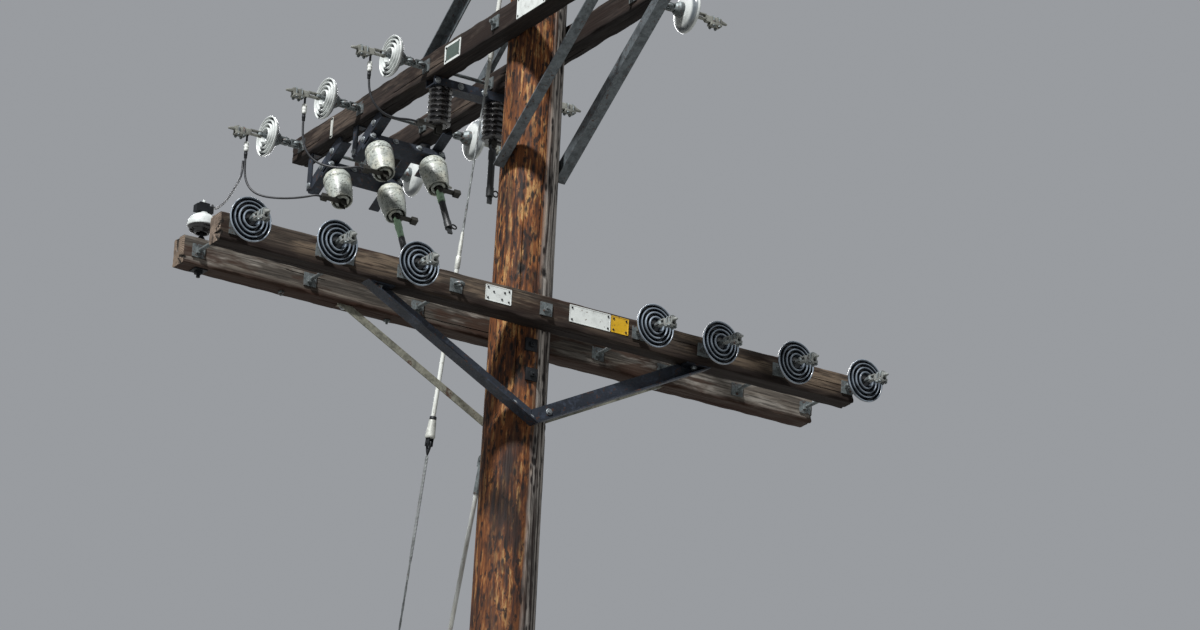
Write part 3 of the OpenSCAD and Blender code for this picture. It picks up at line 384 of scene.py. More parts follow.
def fibre_tube(name, base, switch, clean):
    # Wound fibre tube: turns 6 mm apart under a dull coat. It is clean for some way below its
    # hinge, and the arc has blackened the rest.
    coat = Coat(name, base, 0.5, IOR=1.5)
    placed = switch_frame(switch)
    down = coat.along(coat.centred(placed @ Vector(HINGE)), placed.to_3x3() @ Vector((0, 0, -1)))
    turns = coat.add("ShaderNodeTexWave", "Fac", {
        "Vector": coat.place, "Scale": 52.0, "Distortion": 1.5, "Detail": 2.0}, bands_direction="Z")
    coat.ramped(turns, 0.3, 0.9, 0.4, tone(base, 0.55))
    coat.blotched(45.0, 0.50, 0.64, 0.6, tone(base, 0.35))
    coat.ramped(down, clean, clean + 0.012, 1.0, list(colours().tube_end))
    return coat.surfaced(160.0, 0.4, 0.65, 0.0006)


def polyethylene_cover(name, base):
    # Weathered polyethylene over a stranded core: nearly black, chalked to grey in places
    coat = Coat(name, base, 0.55, IOR=1.5)
    coat.blotched(60.0, 0.46, 0.64, 0.8, tone(base, 2.0))
    return coat.surfaced(260.0, 0.45, 0.7, 0.0004)


def coated_glass_fibre(name, base):
    # Pultruded glass fibre under a white coat, chalky, with dust that has run down it
    coat = Coat(name, base, 0.38, IOR=1.5)
    coat.blotched(42.0, 0.46, 0.66, 0.7, linear("#9a988f"), coat.stretched(2, 0.2))
    coat.blotched(110.0, 0.62, 0.68, 0.6, linear("#55524b"))
    return coat.surfaced(180.0, 0.3, 0.5, 0.0004)


def enamelled_sheet(name, base):
    # Vitreous enamel on sheet steel: smooth, slightly chalked, rusty at its chips
    coat = Coat(name, base, 0.3, IOR=1.5, Coat_Weight=0.2)
    coat.blotched(30.0, 0.46, 0.66, 0.5, tone(base, 0.62))
    coat.blotched(75.0, 0.63, 0.68, 0.9, linear("#4f3424"))
    return coat.surfaced(120.0, 0.25, 0.5, 0.0004)


def recipes():
    """For each finish the function that makes it, the material's name, its colours and values."""
    c = colours()
    low, high = LOWER_ARMS[0], UPPER_ARMS[0]
    return {
        "resin_streaked_pole": (pole_wood,),
        "weathered_arm_wood": (
            arm_wood, "weathered_sawn_fir", "#58524b", 0, "#86817a", "#33231a", "#2a170d",
            low + 0.0065, low + 0.0285),
        "front_arm_wood": (
            arm_wood, "brown_sawn_fir", tone(c.lower_arms, 0.7), 0, "#6d5f50", "#241710", "#150c09",
            low + 0.0155, low + 0.0625),
        "dark_arm_wood": (
            arm_wood, "dark_treated_fir", c.upper_arms, 1, "#4a4038", "#1a110d", "#0e0908",
            high, high + 0.024),
        "front_arm_end": (end_grain, "front_fir_end", "#6d6055", 0, (0.0, -0.19, 8.80)),
        "rear_arm_end": (end_grain, "rear_fir_end", "#66594d", 0, (0.0, 0.14, 8.82)),
        "left_arm_end": (end_grain, "left_fir_end", "#453a31", 1, (-0.17, 0.0, 10.14)),
        "right_arm_end": (end_grain, "right_fir_end", "#453a31", 1, (0.15, 0.0, 10.19)),
        "pole_end": (end_grain, "pine_pole_end", "#7d5f43", 2, (0.02, 0.01, 0.0)),
        "dark_brace_steel": (rolled_steel, "dark_coated_rolled_steel", c.steel),
        "galvanised_steel": (zinc_coat, "aged_hot_dip_zinc", c.zinc, 0.45, 0.7, 0.57),
        # The flat bar's rust is drawn in large patches, about 70 mm, that are partly rust and partly
        # painted shadows cast across it
        "bare_flat_bar": (zinc_coat, "weathered_flat_bar", "#8d8d80", 0.5, 0.7, 0.56, 15.0),
        "dulled_zinc": (zinc_coat, "dulled_dark_zinc", "#6b7276", 0.45, 0.65, 0.6),
        "bolt_zinc": (zinc_coat, "bright_worn_zinc", "#9aa0a3", 0.34, 0.55, 0.62),
        "guy_strand_wire": (zinc_coat, "zinc_coated_strand_wire", "#8b8f8f", 0.4, 0.6, 0.64),
        "pale_socket": (cast_metal, "pale_cast_aluminium", "#b9bbb5", 0.45, 0.65, 0.3),
        # Near-black iron: real blackened iron, and painted shade on the guy's socket links and the
        # washers on the pole
        "dark_iron": (cast_metal, "blackened_iron", "#1d1f22", 0.45, 0.7, 0.6),
        "clamp_aluminium": (cast_metal, "sand_cast_aluminium", "#8a8d8a", 0.42, 0.62, 0.45),
        "dull_clamp_metal": (cast_metal, "dull_malleable_iron", "#85867f", 0.48, 0.7, 0.5),
        "dark_contact_metal": (cast_metal, "darkened_bronze", "#34332f", 0.42, 0.65, 0.65),
        # For the discs the last colour is painted shade in the grooves, and the one before it a painted
        # highlight on the crests and the rims
        "grey_green_glaze": (
            porcelain, "grey_green_porcelain", c.disc_glaze, list(c.crest_highlight_glaze), "#181d23"),
        "white_glaze": (
            porcelain, "white_ribbed_porcelain", c.white_glaze, tone(c.white_glaze, 1.1), "#565c60"),
        "pin_glaze": (smooth_glaze, "white_pin_porcelain", c.white_glaze, "#8d918f"),
        # Painted shade: a near-black glaze that stands for porcelain in shade, the inner switch's posts
        # under the arm and the pin insulator's underside
        "dark_glaze": (smooth_glaze, "dark_brown_porcelain", "#1b1a1b", "#454442"),
        "speckled_grey_glaze": (post_porcelain, "speckled_porcelain_glaze", c.post_glaze),
        "outer_tube": (fibre_tube, "outer_green_fibre", c.tube, OUTER_SWITCH, 0.120),
        "middle_tube": (fibre_tube, "middle_green_fibre", c.tube, MIDDLE_SWITCH, 0.064),
        "inner_tube": (fibre_tube, "inner_dark_fibre", "#2b2d2e", INNER_SWITCH, 0.01),
        "jumper_cover": (polyethylene_cover, "weathered_polyethylene_cover", c.lead_cover),
        "white_fibreglass": (coated_glass_fibre, "white_coated_glass_fibre", c.fibreglass),
        "white_enamel": (enamelled_sheet, "white_enamelled_sheet", c.plate),
        "faded_enamel": (enamelled_sheet, "faded_enamelled_sheet", c.plate_field),
        "yellow_enamel": (enamelled_sheet, "yellow_enamelled_sheet", c.tag),
    }


MATERIALS = {}


def material_for(finish):
    """The material of one of the record's slots, or of a finish of this scene, made once."""
    if finish not in MATERIALS:
        maker, *values = recipes()[finish]
        MATERIALS[finish] = maker(*[linear(v) if str(v).startswith("#") else v for v in values])
    return MATERIALS[finish]


# Finishes of CAD nodes that differ from their record slot's own
NODE_FINISHES = {
    "rear_lower_braces": "bare_flat_bar",
    "low_guy_fitting": "pale_socket",
    "upper_down_braces": "dulled_zinc",
    "upper_raised_braces": "dulled_zinc",
    "pin_insulator_pin": "dark_iron",
    "outer_switch_tube": "outer_tube",
    "middle_switch_tube": "middle_tube",
    "inner_switch_tube": "inner_tube",
}

# Modelling in edit mode


def nothing_selected():
    if bpy.context.object and bpy.context.object.mode != "OBJECT":
        bpy.ops.object.mode_set(mode="OBJECT")
    bpy.ops.object.select_all(action="DESELECT")


def only(piece):
    """Makes a piece the one that is selected and active, in object mode."""
    nothing_selected()
    piece.select_set(True)
    bpy.context.view_layer.objects.active = piece


def picked(piece, kind, chosen):
    """Enters edit mode with only the chosen faces, edges or vertices of a piece selected."""
    only(piece)
    bpy.ops.object.mode_set(mode="EDIT")
    bpy.ops.mesh.select_mode(type=kind)
    bpy.ops.mesh.select_all(action="DESELECT")
    bpy.ops.object.mode_set(mode="OBJECT")
    mesh = piece.data
    parts = {"FACE": mesh.polygons, "EDGE": mesh.edges, "VERT": mesh.vertices}[kind]
    parts.foreach_set("select", np.asarray(chosen, dtype=bool))
    bpy.ops.object.mode_set(mode="EDIT")


def done():
    bpy.ops.object.mode_set(mode="OBJECT")


def points_of(piece):
    """The places of a piece's vertices."""
    flat = np.empty(len(piece.data.vertices) * 3)
    piece.data.vertices.foreach_get("co", flat)
    return flat.reshape(-1, 3)


def put_points(piece, points):
    piece.data.vertices.foreach_set("co", np.ascontiguousarray(points).reshape(-1))
    piece.data.update()


def edge_points(piece):
    """The places of the two ends of every edge."""
    ends = np.empty(len(piece.data.edges) * 2, dtype=np.int64)
    piece.data.edges.foreach_get("vertices", ends)
    points = points_of(piece)
    return points[ends[0::2]], points[ends[1::2]]


def normals_of(piece):
    flat = np.empty(len(piece.data.polygons) * 3)
    piece.data.polygons.foreach_get("normal", flat)
    return flat.reshape(-1, 3)


def settled_place(piece):
    """Puts a piece's place into its mesh."""
    only(piece)
    bpy.ops.object.transform_apply(location=True, rotation=True, scale=True)
    return piece


def cube_between(low, high):
    """A block with its corners at two points, to be shaped further."""
    nothing_selected()
    low, high = Vector(low), Vector(high)
    bpy.ops.mesh.primitive_cube_add(size=1.0, location=(low + high) / 2, scale=high - low)
    return settled_place(bpy.context.object)


def bar_along_z(vertices, radius, low, high):
    """A round bar from one height to another, to be shaped further."""
    nothing_selected()
    bpy.ops.mesh.primitive_cylinder_add(
        vertices=vertices, radius=radius, depth=high - low, location=(0, 0, (low + high) / 2))
    return settled_place(bpy.context.object)


def cut(piece, axis, places):
    """Cuts a piece through by planes square to an axis."""
    picked(piece, "FACE", [True] * len(piece.data.polygons))
    for place in places:
        bpy.ops.mesh.select_all(action="SELECT")
        on, square = [0.0] * 3, [0.0] * 3
        on[axis], square[axis] = place, 1.0
        bpy.ops.mesh.bisect(plane_co=on, plane_no=square)
    done()


def edges_along(piece, axis, low, high):
    """Which edges run along an axis right from one place to another."""
    a, b = edge_points(piece)
    run = abs(a - b)
    straight = run[:, axis] > 0.9 * np.linalg.norm(run, axis=1)
    first, last = np.minimum(a, b)[:, axis], np.maximum(a, b)[:, axis]
    return straight & (abs(first - low) < 1e-4) & (abs(last - high) < 1e-4)


def rows(piece, axis, low, high, step):
    """Divides the edges that run along an axis between two cuts into rows about a step apart."""
    picked(piece, "EDGE", edges_along(piece, axis, low, high))
    # Blender makes 100 cuts at most
    bpy.ops.mesh.subdivide(number_cuts=min(100, max(1, round((high - low) / step) - 1)))
    done()


def merged(piece, distance=1e-5):
    """Closes seams and poles of a spun or mirrored piece and turns its faces outward."""
    picked(piece, "VERT", [True] * len(piece.data.vertices))
    bpy.ops.mesh.remove_doubles(threshold=distance)
    bpy.ops.mesh.normals_make_consistent(inside=False)
    done()
    return piece


def turned(profile, steps):
    """A closed piece spun round Z from points (radius, height) that start and end on the axis."""
    nothing_selected()
    bpy.ops.mesh.primitive_plane_add(size=0.01)
    made = bpy.context.object
    bpy.ops.object.mode_set(mode="EDIT")
    bpy.ops.mesh.select_mode(type="VERT")
    bpy.ops.mesh.select_all(action="SELECT")
    bpy.ops.mesh.merge(type="CENTER")
    bpy.ops.transform.translate(value=(profile[0][0], 0, profile[0][1]))
    for (r0, z0), (r1, z1) in zip(profile, profile[1:]):
        bpy.ops.mesh.extrude_region_move(TRANSFORM_OT_translate={"value": (r1 - r0, 0, z1 - z0)})
    bpy.ops.mesh.select_all(action="SELECT")
    bpy.ops.mesh.spin(steps=steps, angle=2 * math.pi, center=(0, 0, 0), axis=(0, 0, 1))
    done()
    return merged(made)


def bevelled(piece, width, segments, chosen=None):
    """Rounds the chosen edges of a piece, or every edge."""
    picked(piece, "EDGE", [True] * len(piece.data.edges) if chosen is None else chosen)
    bpy.ops.mesh.bevel(offset=width, segments=segments)
    done()
    return piece


def smoothed(piece, degrees=35):
    only(piece)
    bpy.ops.object.shade_smooth_by_angle(angle=math.radians(degrees))
    return piece


def copied(piece, place):
    """A copy with its own mesh, moved by a matrix."""
    twin = piece.copy()
    twin.data = piece.data.copy()
    bpy.context.scene.collection.objects.link(twin)
    twin.data.transform(place)
    return twin


def joined(pieces):
    """Joins pieces into the first of them."""
    nothing_selected()
    for piece in pieces:
        piece.select_set(True)
    bpy.context.view_layer.objects.active = pieces[0]
    if len(pieces) > 1:
        bpy.ops.object.join()
    return pieces[0]


def repeated(pattern, places):
    """Copies a pattern to each place and joins the copies; the pattern goes."""
    whole = joined([copied(pattern, place) for place in places])
    bpy.data.objects.remove(pattern)
    return whole


def finished(piece, name, finish, slot, *nodes):
    """Names a piece, gives it its finish, and lets it ride in place of CAD nodes. The slot is not used.
    """
    settled_place(piece)
    piece.name = piece.data.name = name
    piece.data.materials.clear()
    piece.data.materials.append(material_for(finish))
    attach(piece, BODY)
    if nodes:
        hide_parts(*nodes)
    return piece


def faces_finished(piece, chosen, finish):
    """Gives the chosen faces another finish."""
    piece.data.materials.append(material_for(finish))
    which = np.zeros(len(piece.data.polygons), dtype=np.int32)
    which[chosen] = len(piece.data.materials) - 1
    piece.data.polygons.foreach_set("material_index", which)


def painted(piece, name, values):
    """Keeps a value for each vertex that a material reads."""
    layer = piece.data.attributes.new(name, "FLOAT", "POINT")
    layer.data.foreach_set("value", np.ascontiguousarray(values, dtype=np.float32))


def facing(point, way):
    """The place of a pattern at a point, with its +Z turned along a direction."""
    return Matrix.Translation(point) @ Vector(way).to_track_quat("Z", "Y").to_matrix().to_4x4()


def ripples(points, period, seed):
    """A smooth uneven field from about -1 to 1 that changes over the period."""
    drawn = np.random.default_rng(seed)
    total = np.zeros(len(points))
    for _ in range(8):
        way = drawn.normal(size=3)
        way *= 2 * math.pi / (np.linalg.norm(way) * period * drawn.uniform(0.6, 1.6))
        total += np.sin(points @ way + drawn.uniform(0, 2 * math.pi))
    return total / 4


def rise(values, low, high):
    """0 below low, 1 above high and smooth between."""
    t = np.clip((values - low) / (high - low), 0, 1)
    return t * t * (3 - 2 * t)


def wrapped(angles):
    """Angles brought between minus and plus half a turn."""
    return (angles + math.pi) % (2 * math.pi) - math.pi


def turn(degrees, axis):
    return Matrix.Rotation(math.radians(degrees), 4, axis)


def shift(x, y, z):
    return Matrix.Translation((x, y, z))


# Jumper leads: the routes of the CAD solids, in millimetres

ROUTES = {
    "outer_jumper": [
        (-484, 1740, 10150), (-484, 1740, 10110), (-484, 1740, 10060), (-484, 1739, 10010),
        (-482, 1737, 9965), (-476, 1729, 9925), (-464, 1712, 9889), (-446, 1686, 9861),
        (-421, 1649, 9840), (-392, 1605, 9826), (-361, 1556, 9816), (-331, 1506, 9810),
        (-304, 1464, 9809), (-281, 1439, 9813), (-262, 1432, 9815), (-244.5, 1432, 9815)],
    "middle_jumper": [
        (-484, 1190, 10150), (-484, 1190, 10110), (-484, 1190, 10060), (-484, 1190, 10010),
        (-481, 1189, 9965), (-473, 1186, 9925), (-459, 1179, 9890), (-438, 1168, 9862),
        (-412, 1152, 9842), (-384, 1131, 9829), (-355, 1106, 9821), (-327, 1080, 9818),
        (-301, 1059, 9820), (-279, 1049, 9824), (-262, 1048, 9825), (-244.5, 1048, 9825)],
    "inner_jumper": [
        (-484, 595, 10150), (-484, 595, 10115), (-484, 595, 10075), (-483, 595, 10036),
        (-479, 595, 9999), (-470, 594, 9965), (-455, 592, 9936), (-434, 590, 9913),
        (-409, 588, 9897), (-383, 585, 9888), (-356, 582, 9885), (-329, 580, 9886),
        (-303, 578, 9890), (-280, 578, 9893), (-262, 578, 9894), (-244.5, 578, 9894)],
    "pin_jumper": [
        (-494.3, 1740, 10022), (-494.4, 1740, 10000), (-497, 1736, 9974), (-506, 1722, 9948),
        (-522, 1694, 9924), (-548, 1648, 9893), (-598, 1559, 9836), (-682, 1410, 9744),
        (-799, 1202, 9619), (-924, 979, 9489), (-1050, 756, 9365), (-1167, 548, 9255),
        (-1267, 370, 9165), (-1334, 251, 9114), (-1362, 202, 9091), (-1378, 174, 9080),
        (-1387, 158, 9076.5), (-1394, 145, 9075.5)],
}


def tube_along(name, points, diameter, steps=4):
    """A round tube along a line of points, as a curve of one open spline."""
    curve = bpy.data.curves.new(name, "CURVE")
    curve.dimensions = "3D"
    curve.bevel_depth = diameter / 2
    curve.bevel_resolution = steps
    curve.use_fill_caps = True
    spline = curve.splines.new("POLY")
    spline.points.add(len(points) - 1)
    for point, place in zip(spline.points, points):
        point.co = (*place, 1.0)
    made = bpy.data.objects.new(name, curve)
    bpy.context.scene.collection.objects.link(made)
    return made


def meshed(curve):
    """Turns a curve into a mesh."""
    only(curve)
    bpy.ops.object.convert(target="MESH")
    return bpy.context.object


def smooth_route(points, steps=4):
    """Points of a Catmull-Rom curve through the route's points."""
    known = [Vector(p) for p in points]
    ends = [known[0] * 2 - known[1]] + known + [known[-1] * 2 - known[-2]]
    out = []
    for a, b, c, d in zip(ends, ends[1:], ends[2:], ends[3:]):
        for k in range(steps):
            t = k / steps
            out.append(0.5 * (2 * b + (c - a) * t + (2 * a - 5 * b + 4 * c - d) * t ** 2
                              + (3 * b - a - 3 * c + d) * t ** 3))
    return out + [known[-1]]


class UTILITYPOLE_OT_jumpers(bpy.types.Operator):
    """Makes the four covered jumper leads, with a pale sleeve and a taped end on each drop"""

    bl_idname = "utilitypole.jumpers"
    bl_label = "Jumper Leads"

    def execute(self, context):
        thick = sizes().lead_diameter
        for name, route in ROUTES.items():
            points = smooth_route([[v / 1000 for v in p] for p in route])
            piece = tube_along(name + "_lead", points, thick)
            piece.data.materials.append(material_for("jumper_cover"))
            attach(piece, BODY)
            on_it = []
            if name != "pin_jumper":
                # The sleeve's middle is 56 mm below the lead's upper end
                drop = Matrix.Translation(points[0]) @ shift(0, 0, -0.056)
                sleeve = turned([
                    (0, -0.023), (0.008, -0.023), (0.0105, -0.020), (0.011, -0.012), (0.0098, -0.009),
                    (0.011, -0.006), (0.011, 0.004), (0.0098, 0.007), (0.011, 0.010), (0.0105, 0.020),
                    (0.008, 0.023), (0, 0.023)], 28)
                tape = turned([
                    (0, -0.058), (0.006, -0.058), (0.0075, -0.054), (0.0072, -0.044), (0.0082, -0.043),
                    (0.0085, -0.033), (0.0074, -0.032), (0.008, -0.024), (0, -0.024)], 20)
                on_it = [sleeve, tape]
                for part in on_it:
                    part.data.transform(drop)
                    smoothed(part, 50)
                finished(sleeve, name + "_sleeve", "white_fibreglass", "white_fibreglass")
                finished(tape, name + "_tape", "dark_iron", "jumper_cover")
            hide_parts(name)
        return {"FINISHED"}


POLE_SIDES = 216
POLE_COLUMN = 2 * math.pi / POLE_SIDES


def cracked(theta, z, low, high, drawn, number):
    """Depth, 0 to 1, and squeeze of drying cracks that follow columns of the pole's vertices."""
    columns = np.round(theta / POLE_COLUMN).astype(int) % POLE_SIDES
    depth, squeeze = np.zeros(len(z)), np.zeros(len(z))
    for _ in range(number):
        column = drawn.integers(POLE_SIDES)
        middle, half = drawn.uniform(low, high), drawn.uniform(0.2, 1.2)
        taper = np.sqrt(np.clip(1 - ((z - middle) / half) ** 2, 0, 1)) * drawn.uniform(0.35, 1.0)
        away = (columns - column + POLE_SIDES // 2) % POLE_SIDES - POLE_SIDES // 2
        depth = np.where(away == 0, np.maximum(depth, taper), depth)
        for side in (-1, 1):
            squeeze = np.where(away == side, -side * 0.5 * taper, squeeze)
    return depth, squeeze


def pole_radius(z):
    """Radius of the pole at a height, both in metres."""
    return FOOT_RADIUS - (FOOT_RADIUS - TOP_RADIUS) * z / POLE_TOP


class UTILITYPOLE_OT_pole_timber(bpy.types.Operator):
    """Models the tapered pole with its seats, drying cracks, knots and sawn top"""

    bl_idname = "utilitypole.pole_timber"
    bl_label = "Pole Timber"

    def execute(self, context):
        seats, seat_edge, chamfer = LOWER_ARMS + UPPER_ARMS, 0.0005, 0.012
        pole = bar_along_z(POLE_SIDES, FOOT_RADIUS, 0.0, POLE_TOP)
        picked(pole, "FACE", normals_of(pole)[:, 2] > 0.9)
        k = TOP_RADIUS / FOOT_RADIUS
        bpy.ops.transform.resize(value=(k, k, 1.0), center_override=(0, 0, POLE_TOP))
        bpy.ops.mesh.bevel(offset=chamfer, segments=3, affect="EDGES")
        done()
        picked(pole, "FACE", normals_of(pole)[:, 2] > 0.99)
        for _ in range(5):
            bpy.ops.mesh.inset(thickness=0.016)
        done()
        rim = POLE_TOP - chamfer
        # Two cuts close together keep the edge of each seat sharp
        breaks = [2.6, 5.2, 7.8] + [z + d for z, d in zip(seats, (-seat_edge, 0, -seat_edge, 0))]
        breaks += [z + d for z, d in zip(seats, (0, seat_edge, 0, seat_edge))] + [rim - 0.001]
        cut(pole, 2, breaks)
        marks = [0.0] + sorted(breaks)
        for low, high in zip(marks, marks[1:]):
            if high - low > 0.03:
                rows(pole, 2, low, high, 0.06 if high < 7.9 else 0.015)

        points = points_of(pole)
        drawn = np.random.default_rng(11)
        x, y, z = points.T
        theta, radius = np.arctan2(y, x), np.hypot(x, y)
        on_top = z > rim + 0.011
        depth, squeeze = cracked(theta, z, 0.3, 11.2, drawn, 44)
        upright = radius > 0.1
        theta = theta + squeeze * POLE_COLUMN * upright
        # The grain turns a little round the pole
        theta = theta + (0.05 * np.sin(1.9 * z + 0.4) + 0.02 * np.sin(7.3 * z)) * upright
        dark = depth * upright
        inward = sizes().check_depth * depth * upright
        for _ in range(46):
            # A knot 20 to 44 mm across: a sunk ring round a dark middle
            at, height = drawn.uniform(-math.pi, math.pi), drawn.uniform(0.5, 11.2)
            size = drawn.uniform(0.010, 0.022)
            away = np.hypot(wrapped(theta - at) * radius, (z - height) * 0.75) / size
            inward += 0.0035 * np.exp(-((away - 0.9) / 0.35) ** 2) * upright
            dark = np.maximum(dark, 0.75 * np.clip(1.35 - away, 0, 1) * upright)
        # Uneven surface: 3 mm low down, under 1 mm where the fittings sit
        uneven = np.where(z < 8.1, 0.0030, 0.0009)
        around = np.stack([np.cos(theta), np.sin(theta), z * 0.22], axis=1)
        inward += uneven * (0.5 + 0.5 * np.clip(ripples(around, 0.9, 5), -1, 1)) * upright
        radius = np.where(on_top & ~upright, radius, np.maximum(radius - inward, 0.0))
        x, y = radius * np.cos(theta), radius * np.sin(theta)
        rings = 0.0016 * np.sin(radius / 0.0055) + 0.0015 * ripples(points, 0.06, 8)
        star = np.zeros(len(z))
        for _ in range(6):
            away = abs(wrapped(theta - drawn.uniform(-math.pi, math.pi)))
            star = np.maximum(star, rise(-away, -1.4 * POLE_COLUMN, 0.0) * rise(radius, 0.02, 0.05))
        z = np.where(on_top, z - 0.0035 + rings - 0.008 * star, z)
        dark = np.where(on_top, star, dark)
        low_seat = (z > seats[0] - 1e-4) & (z < seats[1] + 1e-4)
        high_seat = (z > seats[2] - 1e-4) & (z < seats[3] + 1e-4)
        y = np.where(low_seat, np.clip(y, -LOWER_FLAT, LOWER_FLAT), y)
        x = np.where(high_seat, np.clip(x, -UPPER_FLAT, UPPER_FLAT), x)
        put_points(pole, np.stack([x, y, z], axis=1))
        painted(pole, "check", dark)
        smoothed(pole, 40)
        finished(pole, "pole_timber", "resin_streaked_pole", "resin_streaked_pole", "pole")
        faces_finished(pole, normals_of(pole)[:, 2] > 0.6, "pole_end")
        return {"FINISHED"}


def arm_timber(node, name, finish, end_finish, slot, along, seed):
    """Models a sawn crossarm in its node's place: worn edges, cracks along the grain, split ends."""
    low, high = (np.array(corner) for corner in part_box(node))
    across = 1 - along
    arm = cube_between(low, high)
    a, b = edge_points(arm)
    lengthwise = abs(a - b)[:, along] > 1.0
    upper = (a + b)[:, 2] > low[2] + high[2]
    bevelled(arm, 0.007, 3, lengthwise & upper)
    a, b = edge_points(arm)
    lengthwise = abs(a - b)[:, along] > 1.0
    bevelled(arm, 0.004, 2, lengthwise & ((a + b)[:, 2] < 2 * low[2] + 1e-4))
    drawn = np.random.default_rng(seed)
    lines, crack_half = {}, 0.0022
    for axis, shares in ((across, (0.34, 0.67)), (2, (0.28, 0.62))):
        span = high[axis] - low[axis]
        lines[axis] = [low[axis] + span * (share + drawn.uniform(-0.05, 0.05)) for share in shares]
        grid = [low[axis] + span * k / 14 for k in range(1, 14)]
        grid = [g for g in grid if min(abs(g - line) for line in lines[axis]) > 0.005]
        cracks = [line + d for line in lines[axis] for d in (-crack_half, 0, crack_half)]
        cut(arm, axis, sorted(grid + cracks))
    ends = [low[along] + (high[along] - low[along]) * k / 3 for k in range(4)]
    cut(arm, along, ends[1:3])
    for k in range(3):
        rows(arm, along, ends[k], ends[k + 1], 0.016)

    points = points_of(arm)
    middle, half = (low + high) / 2, (high - low) / 2
    out = (points - middle) / half
    far = points[:, along]
    dark, moved = np.zeros(len(points)), points.copy()
    for side_axis, line_axis in ((across, 2), (2, across)):
        for side in (-1, 1):
            on_side = abs(out[:, side_axis] - side) < 0.002
            for line in lines[line_axis]:
                near = on_side & (abs(points[:, line_axis] - line) < 0.0005)
                for _ in range(drawn.integers(1, 4)):
                    centre = drawn.uniform(low[along], high[along])
                    reach = drawn.uniform(0.06, 0.34)
                    taper = np.sqrt(np.clip(1 - ((far - centre) / reach) ** 2, 0, 1)) * near
                    taper *= drawn.uniform(0.4, 1.0)
                    dark = np.maximum(dark, taper)
            moved[:, side_axis] -= side * on_side * sizes().arm_check_depth * dark * (dark > 0)
    # Worn and chipped long edges
    corner = rise(abs(out[:, across]), 0.80, 1.0) * rise(abs(out[:, 2]), 0.84, 1.0)
    worn = 0.0035 * corner * np.clip(ripples(points, 0.16, seed + 1) + 0.3, 0, 1.2)
    moved[:, across] -= np.sign(out[:, across]) * worn
    moved[:, 2] -= np.sign(out[:, 2]) * worn
    # Raised grain, under 1 mm so that washers still sit, and lines that wander
    grained = points.copy()
    grained[:, along] *= 0.06
    sunk = 0.0004 * (1 + np.clip(ripples(grained, 0.02, seed + 2), -1, 1))
    for axis in (across, 2):
        moved[:, axis] -= np.sign(out[:, axis]) * sunk * (abs(out[:, axis]) > 0.99)
        inner = 1 - out[:, axis] ** 2
        inner *= abs(out[:, along]) < 0.999
        moved[:, axis] += 0.0035 * np.sin(far * 5.1 + seed + axis) * inner
    # Split ends: cracks that run out from the pith
    at_end = abs(out[:, along]) > 0.9999
    star = np.zeros(len(points))
    spread = np.arctan2(out[:, 2] + 0.35, out[:, across] - 0.2)
    for _ in range(5):
        away = abs(wrapped(spread - drawn.uniform(-math.pi, math.pi)))
        star = np.maximum(star, rise(-away, -0.16, 0.0) * at_end)
    uneven = 0.0012 * (1 + np.clip(ripples(points, 0.035, seed + 3), -1, 1))
    moved[:, along] -= np.sign(out[:, along]) * at_end * (0.006 * star + uneven)
    put_points(arm, moved)
    painted(arm, "check", np.maximum(dark, star))
    smoothed(arm, 40)
    finished(arm, name, finish, slot, node)
    faces_finished(arm, abs(normals_of(arm)[:, along]) > 0.7, end_finish)


class UTILITYPOLE_OT_crossarms(bpy.types.Operator):
    """Models the four sawn crossarms"""

    bl_idname = "utilitypole.crossarms"
    bl_label = "Crossarm Timber"

    def execute(self, context):
        for arm, finish, end, slot, along, seed in (
                ("front_lower", "front_arm_wood", "front_arm_end", "weathered_arm_wood", 0, 21),
                ("rear_lower", "weathered_arm_wood", "rear_arm_end", "weathered_arm_wood", 0, 37),
                ("left_upper", "dark_arm_wood", "left_arm_end", "dark_arm_wood", 1, 53),
                ("right_upper", "dark_arm_wood", "right_arm_end", "dark_arm_wood", 1, 68)):
            arm_timber(arm + "_arm", arm + "_timber", finish, end, slot, along, seed)
        return {"FINISHED"}


# Places of each lower string's first pin, with its swing in degrees, and of each upper string's
# second pin. +Z points out along the string.
LOWER_STRINGS = [
    shift(x, FRONT_FACE, LOWER_EYES) @ turn(90, "X") @ shift(0, 0, 0.030) @ turn(swing, "Y")
    for x, swing in (
        (-1.455, 2), (-1.060, 2), (-0.680, 2), (0.450, 5), (0.775, 5), (1.155, 5), (1.508, 6))]
UPPER_STRINGS = [
    shift(side * SIDE_FACE, y, UPPER_EYES) @ turn(90 * side, "Z") @ turn(90, "X") @ shift(0, 0, 0.084)
    for side in (-1, 1) for y in (-1.740, -1.190, -0.595, 0.595, 1.190, 1.740)]
# The clamp's pin, out along the string
CLAMP_PIN = 0.132


